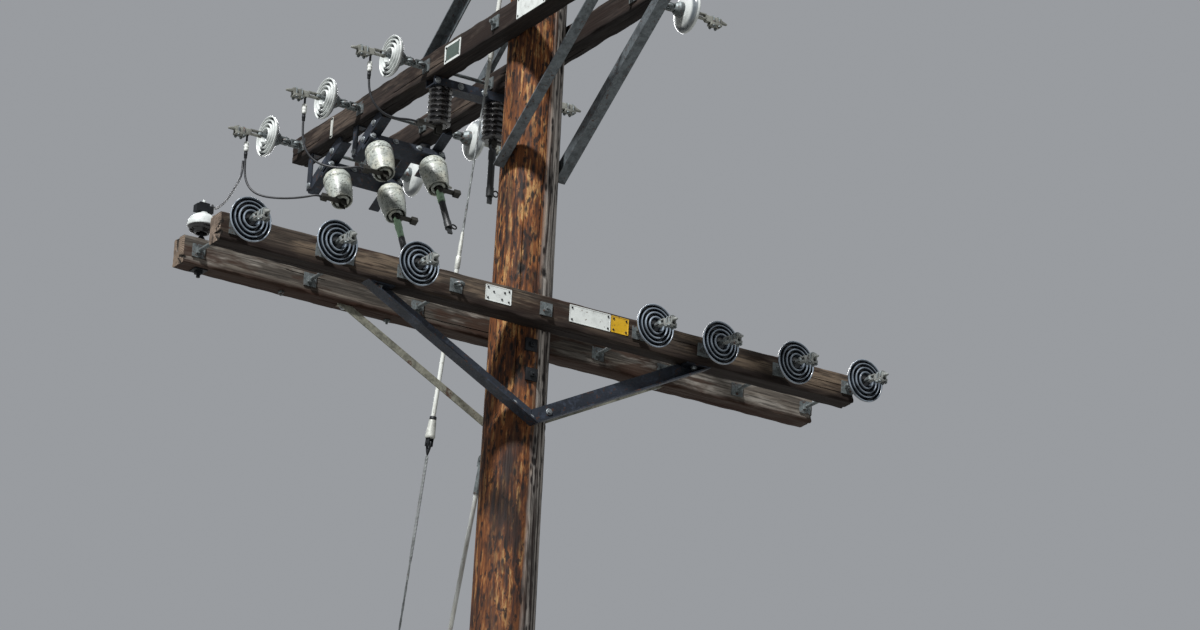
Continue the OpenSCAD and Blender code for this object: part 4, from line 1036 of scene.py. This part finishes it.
def disc():
    """A suspension disc: domed back, drip rim and three ribs on the side away from the pole."""
    radius, back = 0.095, 0.062
    profile = [
        (0, 0), (0.34, 0), (0.46, 0.8), (0.60, 4.2), (0.72, 8.2), (0.83, 13.4), (0.91, 19), (0.965, 26),
        (0.99, 31), (1.0, 35), (0.997, 37.5), (0.985, 39.2), (0.965, 39.6), (0.945, 38.6), (0.93, 35),
        (0.915, 28), (0.90, 22), (0.88, 19.5), (0.85, 19.5), (0.832, 22), (0.822, 32), (0.81, 40),
        (0.795, 42.5), (0.765, 42.5), (0.748, 40), (0.738, 31), (0.728, 22), (0.71, 19), (0.665, 19),
        (0.645, 22), (0.632, 34), (0.618, 43), (0.60, 45.5), (0.568, 45.5), (0.55, 43), (0.54, 33),
        (0.528, 22), (0.505, 19), (0.46, 19), (0.437, 22), (0.424, 36), (0.41, 45), (0.393, 47.2),
        (0.357, 47.2), (0.338, 44), (0.32, 36), (0.285, 28), (0.24, 24), (0.16, 22), (0, 22)]
    made = turned([(r * radius, back + z / 1000) for r, z in profile], 56)
    points = points_of(made)
    out = np.hypot(points[:, 0], points[:, 1]) / radius
    up = (points[:, 2] - back) * 1000
    # Marks for the painted highlight on the crests and the rim; the grooves stay at 0, for painted
    # shade, and the back takes the plain glaze
    ribs = rise(up, 27, 44) * ((out > 0.3) & (out < 0.9))
    rim = rise(up, 24, 36) * (out > 0.9)
    back_side = 0.5 * ((up < 19) & (out < 0.8))
    painted(made, "crest", np.clip(ribs + rim + back_side, 0, 1))
    return smoothed(made, 50)


class UTILITYPOLE_OT_discs(bpy.types.Operator):
    """Models the suspension disc once and places it on every string"""

    bl_idname = "utilitypole.discs"
    bl_label = "Porcelain Discs"

    def execute(self, context):
        for level, strings, glaze in (
                ("lower", LOWER_STRINGS, "grey_green_glaze"),
                ("upper", UPPER_STRINGS, "white_glaze")):
            discs = repeated(disc(), strings)
            finished(discs, level + "_discs", glaze, glaze, level + "_insulators")
        return {"FINISHED"}


def strain_clamp(reach):
    """The castings and the bolts of a slender strain clamp, its pin at the origin, its nose on +Z.

    The conductor's groove runs between the foot of the body and the keeper under it.
    """
    foot, top, groove = -0.020, 0.009, 0.008
    neck, start, end = 0.30 * reach, 0.45 * reach, 0.80 * reach
    pin = bevelled(bar_along_z(20, 0.007, -0.016, 0.016), 0.0015, 2)
    pin.data.transform(turn(90, "X"))
    castings = [pin]
    for side in (-1, 1):
        inner, outer = sorted((side * 0.0066, side * 0.0116))
        cheek = cube_between((-0.011, inner, -0.012), (0.011, outer, neck + 0.004))
        a, b = edge_points(cheek)
        rounded = (abs(a - b)[:, 1] > 0.001) & ((a + b)[:, 2] < 0)
        castings.append(bevelled(cheek, 0.0095, 5, rounded))

    body = cube_between((-0.011, foot, neck), (0.011, top, end))
    a, b = edge_points(body)
    bevelled(body, 0.004, 3, edges_along(body, 2, neck, end) & ((a + b)[:, 1] > 0))
    keeper = cube_between((-0.0195, foot - 0.011, start + 0.001), (0.0195, foot, end - 0.001))
    a, b = edge_points(keeper)
    upright, lengthwise = abs(a - b)[:, 1] > 0.001, abs(a - b)[:, 2] > 0.001
    bevelled(keeper, 0.003, 2, upright | (lengthwise & ((a + b)[:, 1] < 2 * foot - 0.02)))
    for part, way in ((body, 1), (keeper, -1)):
        cut(part, 0, [groove * share for share in (-1, -0.87, -0.5, 0, 0.5, 0.87, 1)])
        if part is body:
            cut(part, 2, [0.34 * reach, start - 0.0002, start])
        points = points_of(part)
        arch = np.sqrt(np.clip(groove ** 2 - points[:, 0] ** 2, 0, None))
        grooved = (abs(points[:, 1] - foot) < 1e-5) & (points[:, 2] > start - 1e-5)
        points[:, 1] += way * arch * grooved
        if part is body:
            # The neck rises to the cheeks
            at_neck = points[:, 2] < neck + 1e-5
            points[:, 1] *= np.where(at_neck, np.where(points[:, 1] < 0, 0.58, 1.29), 1.0)
        put_points(part, points)
        castings.append(part)

    nose = cube_between((-0.009, foot + groove + 0.0004, end - 0.001), (0.009, 0.004, reach))
    points = points_of(nose)
    tip = points[:, 2] > end
    points[:, 1] -= 0.008 * (tip & (points[:, 1] > 0))
    points[:, 0] *= np.where(tip, 0.6, 1.0)
    put_points(nose, points)
    castings.append(bevelled(nose, 0.0025, 2))

    bolts = []
    leg, leg_end, crown = 0.0155, -0.040, 0.0125
    for z in (start + 0.09 * reach, end - 0.09 * reach):
        turns = [math.pi * k / 12 for k in range(13)]
        bow = [(-leg * math.cos(t), crown * math.sin(t), z) for t in turns]
        bolts.append(meshed(tube_along(
            "u_bolt", [(-leg, leg_end, z)] + bow + [(leg, leg_end, z)], 0.007, 2)))
        for x in (-leg, leg):
            nut = bevelled(bar_along_z(6, 0.0078, 0.0, 0.006), 0.0008, 1)
            nut.data.transform(facing((x, foot - 0.0168, z), (0, 1, 0)))
            bolts.append(nut)
    return smoothed(joined(castings)), smoothed(joined(bolts), 40)


class UTILITYPOLE_OT_strain_clamps(bpy.types.Operator):
    """Models the slender strain clamps with their keepers and U-bolts, one on every string"""

    bl_idname = "utilitypole.strain_clamps"
    bl_label = "Strain Clamps"

    def execute(self, context):
        for level, reach, finish, strings in (
                ("lower", 0.115, "clamp_aluminium", LOWER_STRINGS),
                ("upper", 0.160, "dull_clamp_metal", UPPER_STRINGS)):
            places = [string @ shift(0, 0, CLAMP_PIN) for string in strings]
            castings, bolts = (repeated(part, places) for part in strain_clamp(reach))
            finished(castings, level + "_clamp_castings", finish, finish, level + "_strain_clamps")
            finished(bolts, level + "_clamp_bolts", "galvanised_steel", "galvanised_steel")
        return {"FINISHED"}


class UTILITYPOLE_OT_pin_insulator(bpy.types.Operator):
    """Turns the pin insulator, a broad white dome over a skirt, and paints shade on its underside as a
    dark glaze
    """

    bl_idname = "utilitypole.pin_insulator"
    bl_label = "Pin Insulator"

    def execute(self, context):
        x, y, seat, shaded_up_to = -1.425, 0.1615, 8.9485, 0.0285
        dome = turned([(r / 1000, z / 1000) for r, z in (
            (0, 22), (20, 22), (22, 12), (24, 1), (26, 0), (30, 0), (32, 2), (33, 14), (38, 22),
            (44, 25), (47, 20), (49, 14), (51, 13), (53, 14), (55, 22), (58, 27), (60.5, 28),
            (62, 30), (62, 34), (61.5, 42), (60, 50), (57, 58), (52, 66), (46, 73), (38, 79), (28, 84),
            (24, 86), (22, 88), (20, 91), (17, 92), (0, 92))], 56)
        stub = bevelled(bar_along_z(20, 0.007, 0.134, 0.146), 0.001, 2)
        dome = smoothed(joined([dome, stub]), 50)
        dome.data.transform(shift(x, y, seat))
        finished(dome, "pin_dome", "pin_glaze", "white_glaze", "pin_insulator")
        # Painted shade: the underside, up to 28.5 mm above the seat, takes the near-black glaze
        centres = np.array([tuple(part.center) for part in dome.data.polygons])
        faces_finished(dome, centres[:, 2] < seat + shaded_up_to, "dark_glaze")
        return {"FINISHED"}


def guy_line(z, side):
    """The place of a guy's eye on the pole, +Z pointing down the guy, and the guy's length."""
    eye = Vector((0, pole_radius(z) + GUY_EYE_OFF, z))
    run = Vector((side * ANCHOR[0], ANCHOR[1], ANCHOR[2])) - eye
    heading = math.degrees(math.atan2(run.y, run.x))
    lean = math.degrees(math.acos(run.z / run.length))
    place = turn(GUY_TURN, "Z") @ Matrix.Translation(eye) @ turn(heading, "Z") @ turn(lean, "Y")
    return place, run.length


def twisted(low, high, radius, lobes, lay, step):
    """A bar of wires twisted together, along Z from one distance to another."""
    bar = bar_along_z(lobes * 3, radius, low, high)
    parts = max(1, math.ceil((high - low) / (step * 95)))
    marks = [low + (high - low) * k / parts for k in range(parts + 1)]
    cut(bar, 2, marks[1:-1])
    for first, last in zip(marks, marks[1:]):
        rows(bar, 2, first, last, step)
    points = points_of(bar)
    theta = np.arctan2(points[:, 1], points[:, 0])
    lobe = np.where(np.round(theta / (2 * math.pi / (3 * lobes))).astype(int) % 3 == 0, 1.0, 0.80)
    theta = theta + 2 * math.pi * points[:, 2] / lay
    points[:, 0], points[:, 1] = radius * lobe * np.cos(theta), radius * lobe * np.sin(theta)
    put_points(bar, points)
    return smoothed(bar, 60)


class UTILITYPOLE_OT_guy_strands(bpy.types.Operator):
    """Models the twisted guy strands with the wrapped grips at their ends"""

    bl_idname = "utilitypole.guy_strands"
    bl_label = "Guy Strands"

    def execute(self, context):
        lay = sizes().strand_lay
        # Each guy's stretches of strand; the last one ends 33 mm short of the guy's lower end
        for node, name, z, side, spans in (
                ("top_guy_strands", "top_guy_wires", TOP_GUY, 1,
                 ((0.090, 0.136), (1.014, 1.676), (2.644, None))),
                ("low_guy_strand", "low_guy_wires", LOW_GUY, -1, ((1.714, None),))):
            place, whole = guy_line(z, side)
            pieces = []
            for low, high in spans:
                high = high or whole - 0.033
                pieces.append(twisted(low, high, 0.005, 6, lay, 0.010))
                if high - low > 0.8:
                    grip = min(0.45, 0.35 * (high - low))
                    for start, end in ((low + 0.004, low + grip), (high - grip, high - 0.004)):
                        pieces.append(twisted(start, end, 0.0066, 5, 0.085, 0.007))
            guy = joined(pieces)
            guy.data.transform(place)
            finished(guy, name, "guy_strand_wire", "guy_strand_wire", node)
        return {"FINISHED"}


class UTILITYPOLE_OT_guy_ends(bpy.types.Operator):
    """Turns the swaged ends and the cast socket of the top guy's strain rods, with its links"""

    bl_idname = "utilitypole.guy_ends"
    bl_label = "Guy Rod Ends"

    def execute(self, context):
        place = guy_line(TOP_GUY, 1)[0]
        cone, link, tail = 0.090, 0.024, 0.050
        ends = []
        # Both ends of the first rod and the upper end of the second, along the guy
        for at, way, run in ((0.250, 180, 0.134), (0.850, 0, 0.184), (1.790, 180, 0.134)):
            end = turned([
                (0, -0.030), (0.0105, -0.030), (0.0118, -0.026), (0.0118, 0.022), (0.0105, 0.025),
                (0.0088, 0.027), (0.0088, run - 0.050), (0.0078, run - 0.040), (0.0066, run - 0.004),
                (0.0058, run), (0, run)], 24)
            end.data.transform(place @ shift(0, 0, at) @ turn(way, "X"))
            ends.append(end)
        low = place @ shift(0, 0, 2.480)
        socket = turned([
            (0, 0.008), (0.0145, 0.008), (0.0165, 0.018), (0.0205, cone - 0.018), (0.0220, cone - 0.010),
            (0.0220, cone - 0.004), (0.0200, cone), (0, cone)], 28)
        socket.data.transform(low)
        finished(smoothed(joined(ends + [socket])), "guy_rod_ends", "pale_socket",
                 "galvanised_steel", "top_guy_fittings")

        collar = turned([
            (0, -0.006), (0.0130, -0.006), (0.0150, -0.003), (0.0150, 0.010), (0.0130, 0.012),
            (0, 0.012)], 28)
        pin = bevelled(bar_along_z(14, 0.006, -0.018, 0.018), 0.001, 2)
        pin.data.transform(shift(0, 0, cone + link) @ turn(90, "X"))
        straps = []
        for y in (-0.010, 0.010):
            corners = (-0.013, y - 0.003, cone - 0.002), (0.013, y + 0.003, cone + link + 0.012)
            straps.append(bevelled(cube_between(*corners), 0.0025, 2))
        nothing_selected()
        bpy.ops.mesh.primitive_torus_add(
            major_segments=28, minor_segments=10, major_radius=0.0118, minor_radius=0.0052,
            rotation=(math.pi / 2, 0, 0))
        thimble = settled_place(context.object)
        # The ring is drawn out to a tail on the side of the strand
        points = points_of(thimble)
        below = np.clip(points[:, 2], 0, None) / 0.017
        points[:, 0] *= 1 - 0.62 * below ** 2
        points[:, 2] += below * (tail - 0.014) + cone + link
        put_points(thimble, points)
        links = joined([collar, pin] + straps + [thimble])
        links.data.transform(low)
        # The links take the near-black iron: dark iron on the collar, and painted shade on the pin and
        # the thimble, which lie in shadow
        finished(smoothed(links), "guy_socket_links", "dark_iron", "galvanised_steel")
        return {"FINISHED"}


def headed_bolt():
    """A hexagon head with a rounded crown on a round washer, standing on z = 0."""
    wide = sizes().bolt_width
    washer = bevelled(bar_along_z(20, 0.7 * wide, -0.001, 0.003), 0.0008, 1)
    head = bar_along_z(6, wide / 2, 0.003, 0.003 + 0.36 * wide)
    a, b = edge_points(head)
    bevelled(head, 0.0018, 2, np.minimum(a, b)[:, 2] > 0.3 * wide)
    return smoothed(joined([washer, head]), 30)


def nutted_bolt():
    """A square nut with a stub of thread, standing on z = 0."""
    wide = sizes().bolt_width
    half = 0.5 * wide
    nut = bevelled(cube_between((-half, -half, 0), (half, half, half)), 0.0015, 2)
    stub = bevelled(bar_along_z(14, 0.26 * wide, 0.0, 0.95 * wide), 0.0012, 2)
    return smoothed(joined([nut, stub]), 30)


def switch_frame(switch):
    """The frame of a switch, in the whole."""
    y, z, tilt = switch
    return shift(0, y, z) @ turn(-tilt, "X")


def on_switch(switch, point, way):
    """The place of a pattern at a point and along a direction of a switch's frame."""
    placed = switch_frame(switch)
    return facing(placed @ Vector(point), placed.to_3x3() @ Vector(way))


class UTILITYPOLE_OT_fasteners(bpy.types.Operator):
    """Adds the bolts of braces, hangers and channels, the square washers and the split pins"""

    bl_idname = "utilitypole.fasteners"
    bl_label = "Small Fasteners"

    def execute(self, context):
        front, back, down, up = (0, -1, 0), (0, 1, 0), (0, 0, -1), (0, 0, 1)
        brace = 0.006
        heads = [facing((0, -0.1374, 8.393), front)]
        nuts = [facing((0, 0.1374, 8.393), back)]
        nuts += [facing((x, y, LOWER_ARMS[0]), down) for x, y in ((-1.044, 0.160), (-0.538, 0.175))]
        for side in (-1, 1):
            out = (side, 0, 0)
            heads += [
                facing((side * 0.084, -0.1374, 8.437), front),
                facing((side * 0.762, -0.1634, LOWER_ARMS[0] - brace), down),
                facing((side * 0.762, 0.1474, LOWER_ARMS[0] - brace), down),
                facing((side * 0.1321, 0, 9.550), out),
                facing((side * 0.1511, -0.780, UPPER_ARMS[0] - brace), down),
                facing((side * 0.1266, 0, 10.760), out)]
            nuts += [
                facing((side * 0.084, -0.1314, 8.437), back),
                facing((side * 0.1456, 0.700, UPPER_ARMS[1] + brace), up)]
            for switch, strap_at in ((OUTER_SWITCH, 0.150), (MIDDLE_SWITCH, 0.110)):
                for x, y in ((0.1865, strap_at), (0.1815, -0.075), (0.1815, 0.030)):
                    heads.append(on_switch(switch, (side * x, y, 0.063), out))
                nuts.append(on_switch(switch, (side * 0.1500, 0, 0.043), up))
        for switch in (OUTER_SWITCH, MIDDLE_SWITCH, INNER_SWITCH):
            for x in (-0.175, -0.060, 0.060, 0.175):
                heads.append(on_switch(switch, (x, -0.038, 0.019), front))
        for bolt, places, name, finish in (
                (headed_bolt(), heads, "brace_bolt_heads", "bolt_zinc"),
                (nutted_bolt(), nuts, "brace_bolt_nuts", "galvanised_steel")):
            finished(repeated(bolt, places), name, finish, "galvanised_steel")

        plates, half = [], 0.028
        for x, z in ((-0.014, 8.713), (-0.006, 8.583)):
            wood = -math.sqrt(pole_radius(z) ** 2 - x * x)
            face = wood - 0.005
            plate = cube_between((x - half, face, z - half), (x + half, wood + 0.009, z + half))
            nut = nutted_bolt()
            nut.data.transform(facing((x, face, z), front))
            plates += [bevelled(plate, 0.0012, 2), nut]
        # Painted shade: the washers and nuts on the pole lie in the lower arms' shadow and take the
        # near-black iron
        finished(smoothed(joined(plates)), "pole_square_washers", "dark_iron", "galvanised_steel")

        bend = [(0, 0.0, -0.006), (0, 0.0015, -0.002), (0, 0.0005, 0.0), (0.003, 0.0015, 0.0),
                (0.0055, 0.003, 0.001), (0.0095, 0.006, 0.003)]
        pin = meshed(tube_along("split_pin", [(x, y + 0.0158, z) for x, y, z in bend], 0.0024, 2))
        pins = smoothed(repeated(pin, LOWER_STRINGS + UPPER_STRINGS), 60)
        finished(pins, "split_pins", "bolt_zinc", "galvanised_steel")
        return {"FINISHED"}


def nailed_plate(name, low, high, face, edge_finish, field_finish=None, rim=0.0035):
    """A sheet plate on a timber face: clipped corners, turned-up rim, nails through it."""
    thick = sizes().plate_thickness
    normal_axis = int(np.argmin(np.array(high) - np.array(low)))
    plate = cube_between(low, high)
    picked(plate, "FACE", normals_of(plate) @ np.array(face) > 0.9)
    bpy.ops.mesh.inset(thickness=rim)
    bpy.ops.mesh.inset(thickness=0.001)
    bpy.ops.transform.translate(value=tuple(-0.5 * thick * v for v in face))
    done()
    a, b = edge_points(plate)
    run = abs(a - b)
    bevelled(plate, min(0.004, rim), 2, run[:, normal_axis] == run.sum(axis=1))
    finished(smoothed(plate), name, edge_finish, "white_glaze")
    if field_finish:
        ahead = normals_of(plate) @ np.array(face) > 0.9
        areas = np.array([part.area for part in plate.data.polygons]) * ahead
        faces_finished(plate, areas == areas.max(), field_finish)


def corner_nails(u0, u1, v0, v1):
    """Where the nails at the four corners of a plate go; nearer the edges of a narrow one."""
    inset = 0.007 if u1 - u0 < 0.03 else 0.012
    return [(u, v) for u in (u0 + inset, u1 - inset) for v in (v0 + inset, v1 - inset)]


class UTILITYPOLE_OT_plates(bpy.types.Operator):
    """Nails the bare plates, the yellow tag and a strap to the crossarms"""

    bl_idname = "utilitypole.plates"
    bl_label = "Plates and Tag"

    def execute(self, context):
        thick = sizes().plate_thickness
        front, left, into = FRONT_FACE, -SIDE_FACE, 0.0012
        forward, leftward, nails = (0, -1, 0), (-1, 0, 0), []
        for name, x0, x1, z0, z1, finish in (
                ("small_front_plate", -0.291, -0.167, 8.825, 8.895, "white_enamel"),
                ("long_front_plate", 0.114, 0.314, 8.825, 8.901, "white_enamel"),
                ("yellow_tag", 0.317, 0.403, 8.827, 8.900, "yellow_enamel")):
            nailed_plate(name, (x0, front - thick, z0), (x1, front + into, z1), forward, finish)
            for x, z in corner_nails(x0, x1, z0, z1):
                nails.append(facing((x, front - thick, z), forward))
        for x, z in ((-0.252, 8.868), (-0.212, 8.842), (-0.200, 8.874)):
            nails.append(facing((x, front - thick, z), forward))
        for name, y0, y1, z0, z1, finish, field in (
                ("number_plate", 0.300, 0.436, 10.122, 10.208, "white_enamel", "faded_enamel"),
                ("sign_plate", -0.415, -0.178, 10.120, 10.219, "white_enamel", None),
                ("outer_strap", 1.446, 1.467, 10.116, 10.216, "pale_socket", None)):
            nailed_plate(name, (left - thick, y0, z0), (left + into, y1, z1), leftward, finish,
                         field, 0.010 if field else 0.0035)
            for y, z in corner_nails(y0, y1, z0, z1):
                nails.append(facing((left - thick, y, z), leftward))
        nail = smoothed(bevelled(bar_along_z(12, 0.0045, -0.001, 0.002), 0.0012, 2), 50)
        finished(repeated(nail, nails), "plate_nails", "dark_iron", "galvanised_steel")
        return {"FINISHED"}


class UTILITYPOLE_OT_finishes(bpy.types.Operator):
    """Gives every CAD node that stays visible its finish"""

    bl_idname = "utilitypole.finishes"
    bl_label = "Finishes"

    def execute(self, context):
        for part in frame["record"]["subparts"]:
            mesh = frame["nodes"][part["node"]].data
            finish = NODE_FINISHES.get(part["node"], part["material_slot"])
            mesh.materials.clear()
            mesh.materials.append(material_for(finish))
        return {"FINISHED"}


class UTILITYPOLE_OT_camera(bpy.types.Operator):
    """Places the camera that looks up at the crossarms"""

    bl_idname = "utilitypole.camera"
    bl_label = "Camera"

    def execute(self, context):
        yaw, pitch, roll = (math.radians(a) for a in (30.491, 20.528, 3.024))
        level = Vector((math.cos(yaw), -math.sin(yaw), 0.0))
        ahead = Vector((
            math.sin(yaw) * math.cos(pitch), math.cos(yaw) * math.cos(pitch), math.sin(pitch)))
        above = level.cross(ahead)
        right = math.cos(roll) * level + math.sin(roll) * above
        up = -math.sin(roll) * level + math.cos(roll) * above
        lens = bpy.data.cameras.new("camera")
        lens.lens = 150.0
        lens.sensor_width = 36.0
        lens.clip_end = 200.0
        lens.dof.use_dof = False
        camera = bpy.data.objects.new("camera", lens)
        context.scene.collection.objects.link(camera)
        axes = Matrix((right, up, -ahead)).transposed().to_4x4()
        camera.matrix_world = Matrix.Translation((-9.66335, -17.06446, 1.56344)) @ axes
        context.scene.camera = camera
        return {"FINISHED"}


class UTILITYPOLE_OT_stage(bpy.types.Operator):
    """Makes the pale floor, the pale surroundings and the soft lights"""

    bl_idname = "utilitypole.stage"
    bl_label = "Stage"

    def execute(self, context):
        nothing_selected()
        bpy.ops.mesh.primitive_plane_add(size=160.0, location=(0, 0, 0))
        floor = context.object
        floor.name = "floor"
        floor.data.materials.append(Coat("pale_matt_floor", linear("#7b7b79"), 0.9).material)
        world = bpy.data.worlds.new("pale_surroundings")
        world.use_nodes = True
        back = world.node_tree.nodes["Background"]
        back.inputs["Color"].default_value = linear("#e4e8ee") + [1.0]
        back.inputs["Strength"].default_value = 0.41
        context.scene.world = world
        context.scene.view_settings.view_transform = "Standard"
        for name, place, aim, size, power in (
                ("key_light", (-12.6, -7.2, 26.9), (0, 0.3, 9.2), None, 7.6),
                ("fill_light", (10, -14, 9), (0, 0, 8.5), 8.0, 100),
                ("back_light", (6, 14, 16), (0, 0, 8), 6.0, 900)):
            lamp = bpy.data.lights.new(name, "AREA" if size else "SUN")
            lamp.energy = power
            if size:
                lamp.size = size
            else:
                lamp.angle = math.radians(5)
            light = bpy.data.objects.new(name, lamp)
            context.scene.collection.objects.link(light)
            aimed = (Vector(aim) - Vector(place)).to_track_quat("-Z", "Y").to_matrix().to_4x4()
            light.matrix_world = Matrix.Translation(place) @ aimed
        return {"FINISHED"}


class UTILITYPOLE_PT_panel(bpy.types.Panel):
    """Lists the sizes, the colours and the steps that dress the pole"""

    bl_idname = "UTILITYPOLE_PT_panel"
    bl_label = "Utility Pole"
    bl_space_type = "VIEW_3D"
    bl_region_type = "UI"
    bl_category = "Utility Pole"

    def draw(self, context):
        for group in (context.scene.utility_pole_sizes, context.scene.utility_pole_colours):
            box = self.layout.box()
            for name in group.__annotations__:
                box.prop(group, name)
        for step in STEPS:
            self.layout.operator(step.bl_idname)


STEPS = (
    UTILITYPOLE_OT_camera,
    UTILITYPOLE_OT_jumpers,
    UTILITYPOLE_OT_pole_timber,
    UTILITYPOLE_OT_crossarms,
    UTILITYPOLE_OT_discs,
    UTILITYPOLE_OT_strain_clamps,
    UTILITYPOLE_OT_pin_insulator,
    UTILITYPOLE_OT_guy_strands,
    UTILITYPOLE_OT_guy_ends,
    UTILITYPOLE_OT_fasteners,
    UTILITYPOLE_OT_plates,
    UTILITYPOLE_OT_finishes,
    UTILITYPOLE_OT_stage,
)
CLASSES = (PoleColours, PoleSizes) + STEPS + (UTILITYPOLE_PT_panel,)


def register():
    for cls in CLASSES:
        bpy.utils.register_class(cls)
    bpy.types.Scene.utility_pole_colours = bpy.props.PointerProperty(type=PoleColours)
    bpy.types.Scene.utility_pole_sizes = bpy.props.PointerProperty(type=PoleSizes)


def unregister():
    del bpy.types.Scene.utility_pole_sizes
    del bpy.types.Scene.utility_pole_colours
    for cls in reversed(CLASSES):
        bpy.utils.unregister_class(cls)


def main():
    register()
    bpy.ops.utilitypole.camera()
    bpy.ops.utilitypole.jumpers()
    bpy.ops.utilitypole.pole_timber()
    bpy.ops.utilitypole.crossarms()
    bpy.ops.utilitypole.discs()
    bpy.ops.utilitypole.strain_clamps()
    bpy.ops.utilitypole.pin_insulator()
    bpy.ops.utilitypole.guy_strands()
    bpy.ops.utilitypole.guy_ends()
    bpy.ops.utilitypole.fasteners()
    bpy.ops.utilitypole.plates()
    bpy.ops.utilitypole.finishes()
    bpy.ops.utilitypole.stage()


if __name__ == "__main__":
    main()
